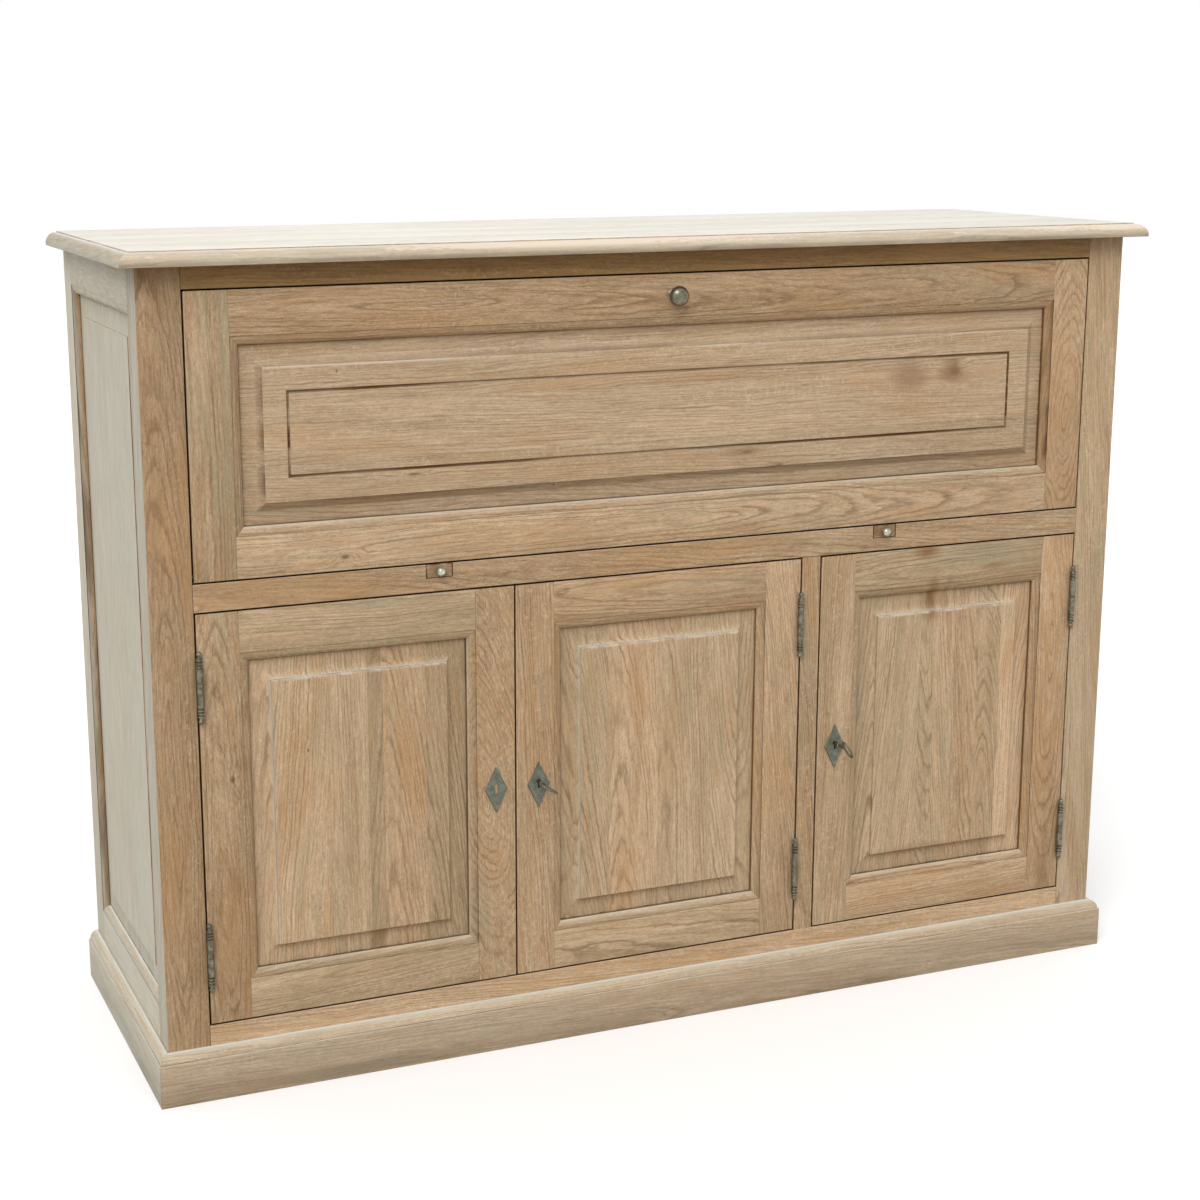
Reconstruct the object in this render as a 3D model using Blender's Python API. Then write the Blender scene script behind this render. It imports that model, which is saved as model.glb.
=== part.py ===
# Tall panelled buffet with a fall front, three doors and two pull-out lopers.
# The front faces -Y, +X is to the right, and the origin is under the centre of the box.

import math

import bmesh
import bpy
from mathutils import Matrix, Vector

for old in list(bpy.data.objects):
    bpy.data.objects.remove(old, do_unlink=True)

# Carcase
LEFT_DOOR_WIDTH = 0.4479
MIDDLE_DOOR_WIDTH = 0.4489
RIGHT_DOOR_WIDTH = 0.4430
POST_WIDTH = 0.05875
POST_DEPTH = 0.0475
CENTRE_STILE_WIDTH = 0.0302
CARCASE_DEPTH = 0.487
DOOR_OPENING_BOTTOM = 0.10285
DOOR_OPENING_HEIGHT = 0.5788
MIDDLE_RAIL_HEIGHT = 0.03785
FLAP_OPENING_HEIGHT = 0.38245
TOP_RAIL_HEIGHT = 0.03025
BOTTOM_RAIL_HEIGHT = 0.062
RAIL_THICKNESS = 0.030
STOP_LIP_HEIGHT = 0.009
SIDE_THICKNESS = 0.022
BACK_THICKNESS = 0.008
BACK_INSET = 0.004
BOARD_THICKNESS = 0.018
PARTITION_THICKNESS = 0.020
DESK_FLOOR_THICKNESS = 0.022
SHELF_HEIGHT = 0.385
HOUSING_DEPTH = 0.006

# Top board and plinth mouldings
TOP_THICKNESS = 0.0198
TOP_FRONT_OVERHANG = 0.029
TOP_SIDE_OVERHANG = 0.024
TOP_BACK_OVERHANG = 0.003
TOP_FILLET = 0.0025
TOP_EDGE_RADIUS = 0.016
PLINTH_PROJECTION = 0.0155
PLINTH_FLAT_HEIGHT = 0.061
PLINTH_FILLET = 0.0022

# Panelled frames: a moulding runs round each window and a tongued panel fills it
DOOR_THICKNESS = 0.022
DOOR_MEMBER = 0.057
FLAP_STILE = 0.058
FLAP_TOP_RAIL = 0.059
FLAP_BOTTOM_RAIL = 0.056
SIDE_BACK_STILE = 0.051
SIDE_FRONT_STRIP = 0.0015
SIDE_TOP_RAIL = 0.054
SIDE_BOTTOM_RAIL = 0.1227
MOULDING_WIDTH = 0.0125
MOULDING_QUIRK = 0.0012
MOULDING_DEPTH = 0.0095
TONGUE_THICKNESS = 0.006
TONGUE_LENGTH = 0.0075
DOOR_MARGIN = 0.019
DOOR_COVE = 0.011
FIELD_DEPTH = 0.002
FLAP_MARGIN = 0.023
FLAP_CHAMFER = 0.0065
GROOVE_INSET = 0.0335
GROOVE_WIDTH = 0.004
GROOVE_DEPTH = 0.002
SIDE_MARGIN = 0.0195
SIDE_COVE = 0.0105
SIDE_FIELD_DEPTH = 0.007

# Flap pivots and lopers
PIVOT_BACK = 0.009
PIVOT_RADIUS = 0.004
PIVOT_REACH = 0.020
SWING_CLEARANCE = 0.0006
LOPER_INSET = 0.400
LOPER_WIDTH = 0.037
LOPER_HEIGHT = 0.019
LOPER_LENGTH = 0.440
LOPER_TRAVEL = 0.300
LOPER_SIDE_GAP = 0.001
GUIDE_WALL = 0.012
GUIDE_FLOOR = 0.007
PEG_RADIUS = 0.004
PEG_FROM_END = 0.030

# Hardware
HINGE_BARREL_RADIUS = 0.0045
HINGE_LENGTH = 0.080
HINGE_AXIS_IN_FRONT = 0.005
HINGE_AXIS_OFFSET = 0.0023
HINGE_FROM_DOOR_END = 0.0977
HINGE_PIN_RADIUS = 0.0025
HINGE_PIN_REACH = 0.026
LEAF_DEPTH = 0.032
FINIAL_RADIUS = 0.0038
FINIAL_NECK_RADIUS = 0.0025
FINIAL_NECK_LENGTH = 0.002
ESCUTCHEON_WIDTH = 0.034
ESCUTCHEON_HEIGHT = 0.068
ESCUTCHEON_THICKNESS = 0.0018
LOCK_INSET = 0.0290
MIDDLE_LOCK_INSET = 0.0330
KEY_ABOVE_CENTRE = 0.0045
KEY_RADIUS = 0.003
KEY_BIT_REACH = 0.009
KEY_BIT_WIDTH = 0.003
KEY_BIT_DEPTH = 0.005
KEY_BOW_OUT = 0.040
KEY_BOW_HALF_WIDTH = 0.015
KEY_BOW_HALF_LENGTH = 0.011
KEY_BOW_WIRE = 0.0021
KEY_COLLAR_RADIUS = 0.0046
KEY_COLLAR_LENGTH = 0.004
KEY_COLLAR_OUT = 0.014
MIDDLE_KEY_TURN = math.radians(-31)
RIGHT_KEY_TURN = math.radians(-62)
LOCK_CASE_WIDTH = 0.049
LOCK_CASE_HEIGHT = 0.054
LOCK_CASE_DEPTH = 0.012
LOCK_CASE_WALL = 0.0015
LOCK_BOLT_LENGTH = 0.040
LOCK_BOLT_HEIGHT = 0.012
LOCK_BOLT_THICKNESS = 0.006
LOCK_BOLT_BELOW_KEY = 0.014
LOCK_BOLT_THROW = 0.008
BOLT_SETBACK = 0.0005
SOCKET_SLACK = 0.001
SLIDE_BOLT_LENGTH = 0.120
SLIDE_BOLT_WIDTH = 0.008
SLIDE_BOLT_THICKNESS = 0.006
SLIDE_BOLT_INSET = 0.024
SLIDE_BOLT_BEHIND_RAIL = 0.001
SLIDE_BOLT_KNOB_RADIUS = 0.004
SLIDE_BOLT_KNOB_OUT = 0.009
SLIDE_BOLT_KNOB_FROM_END = 0.020
BOLT_GUIDE_LENGTH = 0.056
BOLT_GUIDE_WALL = 0.003
FLAP_KNOB_RADIUS = 0.014
FLAP_KNOB_OUT = 0.027
FLAP_KNOB_HEAD = 0.0105
FLAP_KNOB_ROSE_RADIUS = 0.0105
FLAP_KNOB_ROSE = 0.002
FLAP_KNOB_NECK_RADIUS = 0.0065
FLAP_KNOB_NECK_OUT = 0.005
LOPER_KNOB_RADIUS = 0.0068
LOPER_KNOB_OUT = 0.0125
LOPER_KNOB_ROSE_RADIUS = 0.005
LOPER_KNOB_ROSE = 0.0008
LOPER_KNOB_NECK_RADIUS = 0.0034

# Clearances, and how far a cutter runs past the face it opens
DOOR_GAP = 0.0025
FIT_GAP = 0.0003
CUT_PAST = 0.004
LEAF_THICKNESS = DOOR_GAP - 2 * FIT_GAP

# Places worked out from the sizes above
CARCASE_WIDTH = (2 * POST_WIDTH + 5 * DOOR_GAP + CENTRE_STILE_WIDTH
                 + LEFT_DOOR_WIDTH + MIDDLE_DOOR_WIDTH + RIGHT_DOOR_WIDTH)
LEFT = -CARCASE_WIDTH / 2
RIGHT = CARCASE_WIDTH / 2
FRONT_REACH = max(TOP_FRONT_OVERHANG, KEY_BOW_OUT + KEY_BOW_HALF_LENGTH)
FRONT = FRONT_REACH - (FRONT_REACH + CARCASE_DEPTH + TOP_BACK_OVERHANG) / 2
BACK = FRONT + CARCASE_DEPTH
MIDDLE_RAIL_BOTTOM = DOOR_OPENING_BOTTOM + DOOR_OPENING_HEIGHT
MIDDLE_RAIL_TOP = MIDDLE_RAIL_BOTTOM + MIDDLE_RAIL_HEIGHT
TOP_RAIL_BOTTOM = MIDDLE_RAIL_TOP + FLAP_OPENING_HEIGHT
TOP_UNDERSIDE = TOP_RAIL_BOTTOM + TOP_RAIL_HEIGHT
CARCASE_TOP = TOP_UNDERSIDE - FIT_GAP
DOOR_BOTTOM = DOOR_OPENING_BOTTOM + DOOR_GAP
DOOR_TOP = MIDDLE_RAIL_BOTTOM - DOOR_GAP
FLAP_BOTTOM = MIDDLE_RAIL_TOP + DOOR_GAP
FLAP_TOP = TOP_RAIL_BOTTOM - DOOR_GAP
LEFT_DOOR_LEFT = LEFT + POST_WIDTH + DOOR_GAP
LEFT_DOOR_RIGHT = LEFT_DOOR_LEFT + LEFT_DOOR_WIDTH
MIDDLE_DOOR_LEFT = LEFT_DOOR_RIGHT + DOOR_GAP
MIDDLE_DOOR_RIGHT = MIDDLE_DOOR_LEFT + MIDDLE_DOOR_WIDTH
STILE_LEFT = MIDDLE_DOOR_RIGHT + DOOR_GAP
STILE_RIGHT = STILE_LEFT + CENTRE_STILE_WIDTH
RIGHT_DOOR_LEFT = STILE_RIGHT + DOOR_GAP
RIGHT_DOOR_RIGHT = RIGHT_DOOR_LEFT + RIGHT_DOOR_WIDTH
PARTITION_CENTRE = (STILE_LEFT + STILE_RIGHT) / 2
INNER_LEFT = LEFT + SIDE_THICKNESS + FIT_GAP
INNER_RIGHT = RIGHT - SIDE_THICKNESS - FIT_GAP
BACK_PANEL_FRONT = BACK - BACK_INSET - BACK_THICKNESS
INNER_BACK = BACK_PANEL_FRONT - FIT_GAP
BEHIND_RAILS = FRONT + RAIL_THICKNESS + FIT_GAP
BEHIND_DOORS = FRONT + DOOR_THICKNESS + FIT_GAP
DESK_UNDERSIDE = MIDDLE_RAIL_TOP + FIT_GAP
DESK_TOP = DESK_UNDERSIDE + DESK_FLOOR_THICKNESS
LOPER_BOTTOM = MIDDLE_RAIL_TOP - LOPER_HEIGHT
KEY_HEIGHT = (DOOR_BOTTOM + DOOR_TOP) / 2
ESCUTCHEON_CENTRE = KEY_HEIGHT - KEY_ABOVE_CENTRE
FLAP_AXIS = Vector((0, FRONT + PIVOT_BACK, DESK_UNDERSIDE + PIVOT_BACK))
FLAP_CORNER_SWING = math.hypot(PIVOT_BACK, FLAP_AXIS.z - FLAP_BOTTOM) + SWING_CLEARANCE


# Builders

def makeMaterial(name, colour, roughness, metallic=0.0):
    paint = bpy.data.materials.new(name)
    paint.use_nodes = True
    shader = paint.node_tree.nodes["Principled BSDF"]
    shader.inputs["Base Color"].default_value = (*colour, 1)
    shader.inputs["Roughness"].default_value = roughness
    shader.inputs["Metallic"].default_value = metallic
    return paint


FINISHES = {
    "oak": ((0.48, 0.32, 0.18), 0.62, 0.0),
    "shade": ((0.34, 0.23, 0.14), 0.7, 0.0),
    "steel": ((0.21, 0.22, 0.19), 0.45, 0.85),
    "pewter": ((0.42, 0.42, 0.38), 0.35, 0.9),
}


def finish(name, bm, kind, smooth=False):
    """Turn a closed bmesh into a named object with a material of its own."""
    bmesh.ops.remove_doubles(bm, verts=bm.verts, dist=0.000001)
    bmesh.ops.recalc_face_normals(bm, faces=bm.faces)
    mesh = bpy.data.meshes.new(name)
    bm.to_mesh(mesh)
    bm.free()
    if smooth:
        mesh.shade_smooth()
        mesh.set_sharp_from_angle(angle=math.radians(35))
    mesh.materials.append(makeMaterial(name + "_finish", *FINISHES[kind]))
    obj = bpy.data.objects.new(name, mesh)
    bpy.context.scene.collection.objects.link(obj)
    return obj


def box(name, x, y, z, kind="oak"):
    """A box between the two limits given for each axis."""
    bm = bmesh.new()
    bmesh.ops.create_cube(bm, size=1)
    size = Vector((x[1] - x[0], y[1] - y[0], z[1] - z[0]))
    centre = Vector((x[0] + x[1], y[0] + y[1], z[0] + z[1])) / 2
    bmesh.ops.scale(bm, vec=size, verts=bm.verts)
    bmesh.ops.translate(bm, vec=centre, verts=bm.verts)
    return finish(name, bm, kind)


def prism(name, start, end, kind="oak"):
    """A solid between two outlines that have the same number of points."""
    bm = bmesh.new()
    near = [bm.verts.new(point) for point in start]
    far = [bm.verts.new(point) for point in end]
    bm.faces.new(near)
    bm.faces.new(far)
    for i in range(len(near)):
        j = (i + 1) % len(near)
        bm.faces.new((near[i], near[j], far[j], far[i]))
    return finish(name, bm, kind)


def loft(name, rings, kind="oak", ring_shaped=False):
    """Four-cornered rings joined in order: capped at both ends, or closed on themselves."""
    bm = bmesh.new()
    loops = [[bm.verts.new(point) for point in ring] for ring in rings]
    pairs = list(zip(loops, loops[1:]))
    if ring_shaped:
        pairs.append((loops[-1], loops[0]))
    else:
        bm.faces.new(loops[0])
        bm.faces.new(loops[-1])
    for lower, upper in pairs:
        for i in range(4):
            j = (i + 1) % 4
            bm.faces.new((lower[i], lower[j], upper[j], upper[i]))
    return finish(name, bm, kind)


def turned(name, profile, base, direction, kind, segments=12):
    """Spin a profile of (radius, distance along the axis) once round a line from base."""
    bm = bmesh.new()
    verts = [bm.verts.new((radius, 0, along)) for radius, along in profile]
    edges = [bm.edges.new(pair) for pair in zip(verts, verts[1:])]
    if profile[0][0] > 0:
        edges.append(bm.edges.new((verts[-1], verts[0])))
    bmesh.ops.spin(bm, geom=verts + edges, cent=(0, 0, 0), axis=(0, 0, 1),
                   angle=math.tau, steps=segments, use_merge=True)
    turn = Vector((0, 0, 1)).rotation_difference(Vector(direction)).to_matrix().to_4x4()
    bm.transform(Matrix.Translation(base) @ turn)
    return finish(name, bm, kind, smooth=True)


def arc(centre, radii, start, end, steps):
    """Points of an elliptical arc, with its angles in degrees."""
    points = []
    for i in range(steps + 1):
        angle = math.radians(start + (end - start) * i / steps)
        points.append((centre[0] + radii[0] * math.cos(angle), centre[1] + radii[1] * math.sin(angle)))
    return points


def combine(obj, tool, operation):
    """Boolean one object with another, which stays in the scene as a wire helper."""
    tool.hide_render = True
    tool.display_type = "WIRE"
    change = obj.modifiers.new(tool.name, "BOOLEAN")
    change.operation = operation
    change.object = tool


def cut(obj, tool):
    combine(obj, tool, "DIFFERENCE")


def add(obj, tool):
    combine(obj, tool, "UNION")


def hang(name, axis_point, objects):
    """Parent objects, and the tools that shape them, to an empty on their joint's axis."""
    empty = bpy.data.objects.new(name, None)
    empty.empty_display_size = 0.05
    empty.location = axis_point
    bpy.context.scene.collection.objects.link(empty)
    tools = [change.object for obj in objects for change in obj.modifiers if change.type == "BOOLEAN"]
    for obj in objects + tools:
        obj.data.transform(Matrix.Translation(-Vector(axis_point)))
        obj.parent = empty
    return empty


# A face gives the world point for (along, height, depth below the face)

def frontFace(along, height, depth):
    return Vector((along, FRONT + depth, height))


def leftFace(along, height, depth):
    return Vector((LEFT + depth, along, height))


def rightFace(along, height, depth):
    return Vector((RIGHT - depth, along, height))


def rectangle(face, window, spread, depth):
    """The window rectangle (left, right, bottom, top) spread outwards, at a depth."""
    left, right, bottom, top = window
    corners = ((left - spread, bottom - spread), (right + spread, bottom - spread),
               (right + spread, top + spread), (left - spread, top + spread))
    return [face(along, height, depth) for along, height in corners]


def windowOf(outer, members):
    """The sight edge of a frame's window, from its outside and its members' flat widths."""
    left, right, bottom, top = outer
    return (left + members[0] + MOULDING_WIDTH, right - members[1] - MOULDING_WIDTH,
            bottom + members[2] + MOULDING_WIDTH, top - members[3] - MOULDING_WIDTH)


def framedWindow(name, face, outer, window, thickness):
    """A frame with an ovolo moulding and a panel groove round its window."""
    ovolo_width = MOULDING_WIDTH - 2 * MOULDING_QUIRK
    ovolo_depth = MOULDING_DEPTH - 2 * MOULDING_QUIRK
    ovolo = arc((MOULDING_WIDTH - MOULDING_QUIRK, MOULDING_QUIRK + ovolo_depth),
                (ovolo_width, ovolo_depth), -90, -180, 5)
    groove_depth = TONGUE_LENGTH + FIT_GAP
    groove_back = MOULDING_DEPTH + TONGUE_THICKNESS + 2 * FIT_GAP
    profile = [(MOULDING_WIDTH, 0), *ovolo, (0, ovolo[-1][1]), (0, MOULDING_DEPTH),
               (groove_depth, MOULDING_DEPTH), (groove_depth, groove_back),
               (0, groove_back), (0, thickness)]
    rings = [rectangle(face, outer, 0, thickness), rectangle(face, outer, 0, 0)]
    rings += [rectangle(face, window, spread, depth) for spread, depth in profile]
    return loft(name, rings, ring_shaped=True)


def panel(name, face, window, margin, rise, back):
    """A tongued panel: a sunk margin, then the rise given as (inset, depth) to its field."""
    margin_depth = MOULDING_DEPTH + FIT_GAP
    tongue_back = margin_depth + TONGUE_THICKNESS
    rings = []
    if back > tongue_back:
        rings.append(rectangle(face, window, -FIT_GAP, back))
        rings.append(rectangle(face, window, -FIT_GAP, tongue_back))
    rings.append(rectangle(face, window, TONGUE_LENGTH, tongue_back))
    rings.append(rectangle(face, window, TONGUE_LENGTH, margin_depth))
    rings += [rectangle(face, window, -margin - inset, depth) for inset, depth in rise]
    return loft(name, rings)


def coveRise(width, field_depth):
    """A hollow curve, flat at the margin and steep at the field."""
    margin_depth = MOULDING_DEPTH + FIT_GAP
    return arc((0, field_depth), (width, margin_depth - field_depth), 90, 0, 5)


# Carcase

def topBoard():
    left = LEFT - TOP_SIDE_OVERHANG
    right = RIGHT + TOP_SIDE_OVERHANG
    front = FRONT - TOP_FRONT_OVERHANG
    back = BACK + TOP_BACK_OVERHANG
    rounding = arc((TOP_EDGE_RADIUS, TOP_FILLET), (TOP_EDGE_RADIUS, TOP_EDGE_RADIUS), 180, 90, 8)
    edge = [(0, 0), *rounding, (TOP_EDGE_RADIUS, TOP_THICKNESS)]
    rings = []
    for inset, rise in edge:
        z = TOP_UNDERSIDE + rise
        rings.append([(left + inset, front + inset, z), (right - inset, front + inset, z),
                      (right - inset, back, z), (left + inset, back, z)])
    return loft("top_board", rings)


def plinthProfile():
    """Outline of (distance out from the carcase, height)."""
    radius = PLINTH_PROJECTION - PLINTH_FILLET
    rounding = arc((0, PLINTH_FLAT_HEIGHT), (radius, radius), 0, 75, 6)
    return [(FIT_GAP, 0), (PLINTH_PROJECTION, 0), (PLINTH_PROJECTION, PLINTH_FLAT_HEIGHT),
            *rounding, (FIT_GAP, PLINTH_FLAT_HEIGHT + radius)]


def plinth():
    """Three lengths, mitred at the front corners with a fine gap."""
    profile = plinthProfile()
    mitre = FIT_GAP / math.sqrt(2)
    start = [(LEFT - out + mitre, FRONT - out, z) for out, z in profile]
    end = [(RIGHT + out - mitre, FRONT - out, z) for out, z in profile]
    prism("plinth_front", start, end)
    for name, edge, way in (("plinth_left", LEFT, -1), ("plinth_right", RIGHT, 1)):
        start = [(edge + way * out, FRONT - out + mitre, z) for out, z in profile]
        end = [(edge + way * out, BACK, z) for out, z in profile]
        prism(name, start, end)


def flapAxisTool(name, radius, x, segments):
    """Round cutter on the flap's axis, across the given limits of X."""
    length = x[1] - x[0]
    return turned(name, [(0, 0), (radius, 0), (radius, length), (0, length)],
                  (x[0], FLAP_AXIS.y, FLAP_AXIS.z), (1, 0, 0), "oak", segments)


def pivotTool(name, x):
    """Cutter for a pivot pin's hole."""
    return flapAxisTool(name, PIVOT_RADIUS + FIT_GAP, x, 16)


def swingTool(name, x):
    """Cutter for the hollow that the flap's lower front corner swings through."""
    return flapAxisTool(name, FLAP_CORNER_SWING, x, 72)


def shelfHousing(name, x):
    """Cutter for the groove that a shelf's end sits in."""
    return box(name, x, (BEHIND_RAILS - FIT_GAP, INNER_BACK + FIT_GAP),
               (SHELF_HEIGHT - FIT_GAP, SHELF_HEIGHT + BOARD_THICKNESS + FIT_GAP))


def frontPosts():
    """Each post has a bore for the flap's pivot pin and a housing for the shelf."""
    reach = PIVOT_REACH + FIT_GAP
    depth = (FRONT, FRONT + POST_DEPTH)
    for side, outer, way in (("left", LEFT, 1), ("right", RIGHT, -1)):
        inner = outer + way * POST_WIDTH
        post = box("front_post_" + side, sorted((outer, inner)), depth, (0, CARCASE_TOP))
        cut(post, pivotTool("post_bore_" + side, sorted((inner - way * reach, inner + way * DOOR_GAP))))
        cut(post, shelfHousing("post_housing_" + side,
                               sorted((inner - way * HOUSING_DEPTH, inner + way * HOUSING_DEPTH))))


def sides():
    """Each side: a frame with its moulding, and a panel with a low field."""
    outer = (FRONT + POST_DEPTH + FIT_GAP, BACK, 0, CARCASE_TOP)
    members = (SIDE_FRONT_STRIP, SIDE_BACK_STILE, SIDE_BOTTOM_RAIL, SIDE_TOP_RAIL)
    window = windowOf(outer, members)
    for side, face, inner, way in (("left", leftFace, LEFT + SIDE_THICKNESS, 1),
                                   ("right", rightFace, RIGHT - SIDE_THICKNESS, -1)):
        frame = framedWindow("side_frame_" + side, face, outer, window, SIDE_THICKNESS)
        limits = sorted((inner - way * HOUSING_DEPTH, inner + way * HOUSING_DEPTH))
        housing = box("side_housing_" + side, limits, (BACK - SIDE_BACK_STILE, INNER_BACK + FIT_GAP),
                      (SHELF_HEIGHT - FIT_GAP, SHELF_HEIGHT + BOARD_THICKNESS + FIT_GAP))
        cut(frame, housing)
        panel("side_panel_" + side, face, window, SIDE_MARGIN,
              coveRise(SIDE_COVE, SIDE_FIELD_DEPTH), MOULDING_DEPTH + FIT_GAP + TONGUE_THICKNESS)


def railProfile(name, bottom, top, lip):
    """A rail between the posts, with a lip, up or down, that the doors or the flap close against."""
    left = LEFT + POST_WIDTH + FIT_GAP
    right = RIGHT - POST_WIDTH - FIT_GAP
    back = FRONT + RAIL_THICKNESS
    if lip > 0:
        outline = [(FRONT, bottom), (FRONT, top), (BEHIND_DOORS, top),
                   (BEHIND_DOORS, top + lip), (back, top + lip), (back, bottom)]
    else:
        outline = [(FRONT, bottom), (FRONT, top), (back, top), (back, bottom + lip),
                   (BEHIND_DOORS, bottom + lip), (BEHIND_DOORS, bottom)]
    return prism(name, [(left, y, z) for y, z in outline], [(right, y, z) for y, z in outline])


def frontRails():
    railProfile("front_top_rail", TOP_RAIL_BOTTOM, CARCASE_TOP, -STOP_LIP_HEIGHT)
    railProfile("front_bottom_rail", DOOR_OPENING_BOTTOM - BOTTOM_RAIL_HEIGHT, DOOR_OPENING_BOTTOM,
                STOP_LIP_HEIGHT)
    middle = railProfile("front_middle_rail", MIDDLE_RAIL_BOTTOM, MIDDLE_RAIL_TOP, -STOP_LIP_HEIGHT)
    for side, centre in (("left", LEFT + LOPER_INSET), ("right", RIGHT - LOPER_INSET)):
        half = LOPER_WIDTH / 2 + LOPER_SIDE_GAP
        cut(middle, box("loper_notch_" + side, (centre - half, centre + half),
                        (FRONT - CUT_PAST, BEHIND_RAILS), (LOPER_BOTTOM - FIT_GAP, DESK_TOP)))
    cut(middle, swingTool("rail_hollow", (LEFT + POST_WIDTH, RIGHT - POST_WIDTH)))


def innerBoards():
    """Boards behind the front frame; the desk floor is notched round the posts."""
    stile = box("centre_stile", (STILE_LEFT, STILE_RIGHT), (FRONT, FRONT + DOOR_THICKNESS),
                (DOOR_OPENING_BOTTOM + FIT_GAP, MIDDLE_RAIL_BOTTOM - FIT_GAP))
    cut(stile, lockSocket("right_lock_socket", STILE_RIGHT))
    box("back_panel", (INNER_LEFT, INNER_RIGHT), (BACK_PANEL_FRONT, BACK - BACK_INSET),
        (DOOR_OPENING_BOTTOM - BOTTOM_RAIL_HEIGHT, CARCASE_TOP), "shade")
    post_back = FRONT + POST_DEPTH + FIT_GAP
    post_left = LEFT + POST_WIDTH + FIT_GAP
    post_right = RIGHT - POST_WIDTH - FIT_GAP
    swing = math.hypot(DOOR_THICKNESS - PIVOT_BACK, FLAP_AXIS.z - FLAP_BOTTOM) + SWING_CLEARANCE
    for name, front, bottom, top in (
            ("bottom_board", BEHIND_RAILS, DOOR_OPENING_BOTTOM - BOARD_THICKNESS, DOOR_OPENING_BOTTOM),
            ("desk_floor", FLAP_AXIS.y + swing, DESK_UNDERSIDE, DESK_TOP)):
        outline = [(post_left, front), (post_right, front), (post_right, post_back),
                   (INNER_RIGHT, post_back), (INNER_RIGHT, INNER_BACK), (INNER_LEFT, INNER_BACK),
                   (INNER_LEFT, post_back), (post_left, post_back)]
        prism(name, [(x, y, bottom) for x, y in outline], [(x, y, top) for x, y in outline], "shade")
    partition = box("partition", (PARTITION_CENTRE - PARTITION_THICKNESS / 2,
                                  PARTITION_CENTRE + PARTITION_THICKNESS / 2),
                    (BEHIND_RAILS, INNER_BACK),
                    (DOOR_OPENING_BOTTOM + FIT_GAP, DESK_UNDERSIDE - FIT_GAP), "shade")
    half = PARTITION_THICKNESS / 2
    for side, way in (("left", -1), ("right", 1)):
        face = PARTITION_CENTRE + way * half
        cut(partition, shelfHousing("partition_housing_" + side,
                                    sorted((face - way * HOUSING_DEPTH, face + way * HOUSING_DEPTH))))


def shelves():
    """Each shelf is housed in a front post, a back stile and the partition."""
    post_back = FRONT + POST_DEPTH + FIT_GAP
    stile_front = BACK - SIDE_BACK_STILE + FIT_GAP
    into = HOUSING_DEPTH - FIT_GAP
    for side, edge, way in (("left", LEFT, 1), ("right", RIGHT, -1)):
        post_x = edge + way * (POST_WIDTH - into)
        side_x = edge + way * (SIDE_THICKNESS + FIT_GAP)
        housed_x = edge + way * (SIDE_THICKNESS - into)
        middle_x = PARTITION_CENTRE - way * (PARTITION_THICKNESS / 2 - into)
        outline = [(post_x, BEHIND_RAILS), (middle_x, BEHIND_RAILS), (middle_x, INNER_BACK),
                   (housed_x, INNER_BACK), (housed_x, stile_front), (side_x, stile_front),
                   (side_x, post_back), (post_x, post_back)]
        bottom = SHELF_HEIGHT
        top = SHELF_HEIGHT + BOARD_THICKNESS
        prism("shelf_" + side, [(x, y, bottom) for x, y in outline],
              [(x, y, top) for x, y in outline], "shade")


# Lopers and their guides

def loperAndGuide(side, centre):
    half = LOPER_WIDTH / 2
    channel_half = half + LOPER_SIDE_GAP
    outer_half = channel_half + GUIDE_WALL
    floor_top = LOPER_BOTTOM - FIT_GAP
    floor_bottom = floor_top - GUIDE_FLOOR
    peg_y = FRONT + LOPER_LENGTH - PEG_FROM_END
    guide_back = FRONT + LOPER_LENGTH
    outline = [(-outer_half, floor_bottom), (outer_half, floor_bottom), (outer_half, MIDDLE_RAIL_TOP),
               (channel_half, MIDDLE_RAIL_TOP), (channel_half, floor_top), (-channel_half, floor_top),
               (-channel_half, MIDDLE_RAIL_TOP), (-outer_half, MIDDLE_RAIL_TOP)]
    guide = prism("loper_guide_" + side, [(centre + x, BEHIND_RAILS, z) for x, z in outline],
                  [(centre + x, guide_back, z) for x, z in outline], "shade")
    slot_half = PEG_RADIUS + LOPER_SIDE_GAP
    cut(guide, box("peg_slot_" + side, (centre - slot_half, centre + slot_half),
                   (peg_y - LOPER_TRAVEL - slot_half, peg_y + slot_half),
                   (floor_bottom - GUIDE_FLOOR, floor_top + FIT_GAP)))
    bar = box("loper_" + side, (centre - half, centre + half), (FRONT, FRONT + LOPER_LENGTH),
              (LOPER_BOTTOM, MIDDLE_RAIL_TOP))
    cut(bar, swingTool("loper_hollow_" + side, (centre - channel_half, centre + channel_half)))
    peg_length = GUIDE_FLOOR + LOPER_HEIGHT / 2
    add(bar, turned("stop_peg_" + side, [(0, 0), (PEG_RADIUS, 0), (PEG_RADIUS, peg_length), (0, peg_length)],
                    (centre, peg_y, LOPER_BOTTOM - GUIDE_FLOOR), (0, 0, 1), "oak", 12))
    middle = LOPER_BOTTOM + LOPER_HEIGHT / 2
    knob = beadKnob("loper_knob_" + side, (centre, FRONT - FIT_GAP, middle))
    hang("loper_axis_" + side, (centre, FRONT, middle), [bar, knob])


def beadKnob(name, base):
    """A round bead on a short neck with a small rose."""
    radius = LOPER_KNOB_RADIUS
    bead = arc((0, LOPER_KNOB_OUT - radius), (radius, radius), -50, 90, 7)
    profile = [(0, 0), (LOPER_KNOB_ROSE_RADIUS, 0), (LOPER_KNOB_ROSE_RADIUS, LOPER_KNOB_ROSE),
               (LOPER_KNOB_NECK_RADIUS, LOPER_KNOB_ROSE), *bead[:-1], (0, LOPER_KNOB_OUT)]
    return turned(name, profile, base, (0, -1, 0), "pewter")


# Flap

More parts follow.
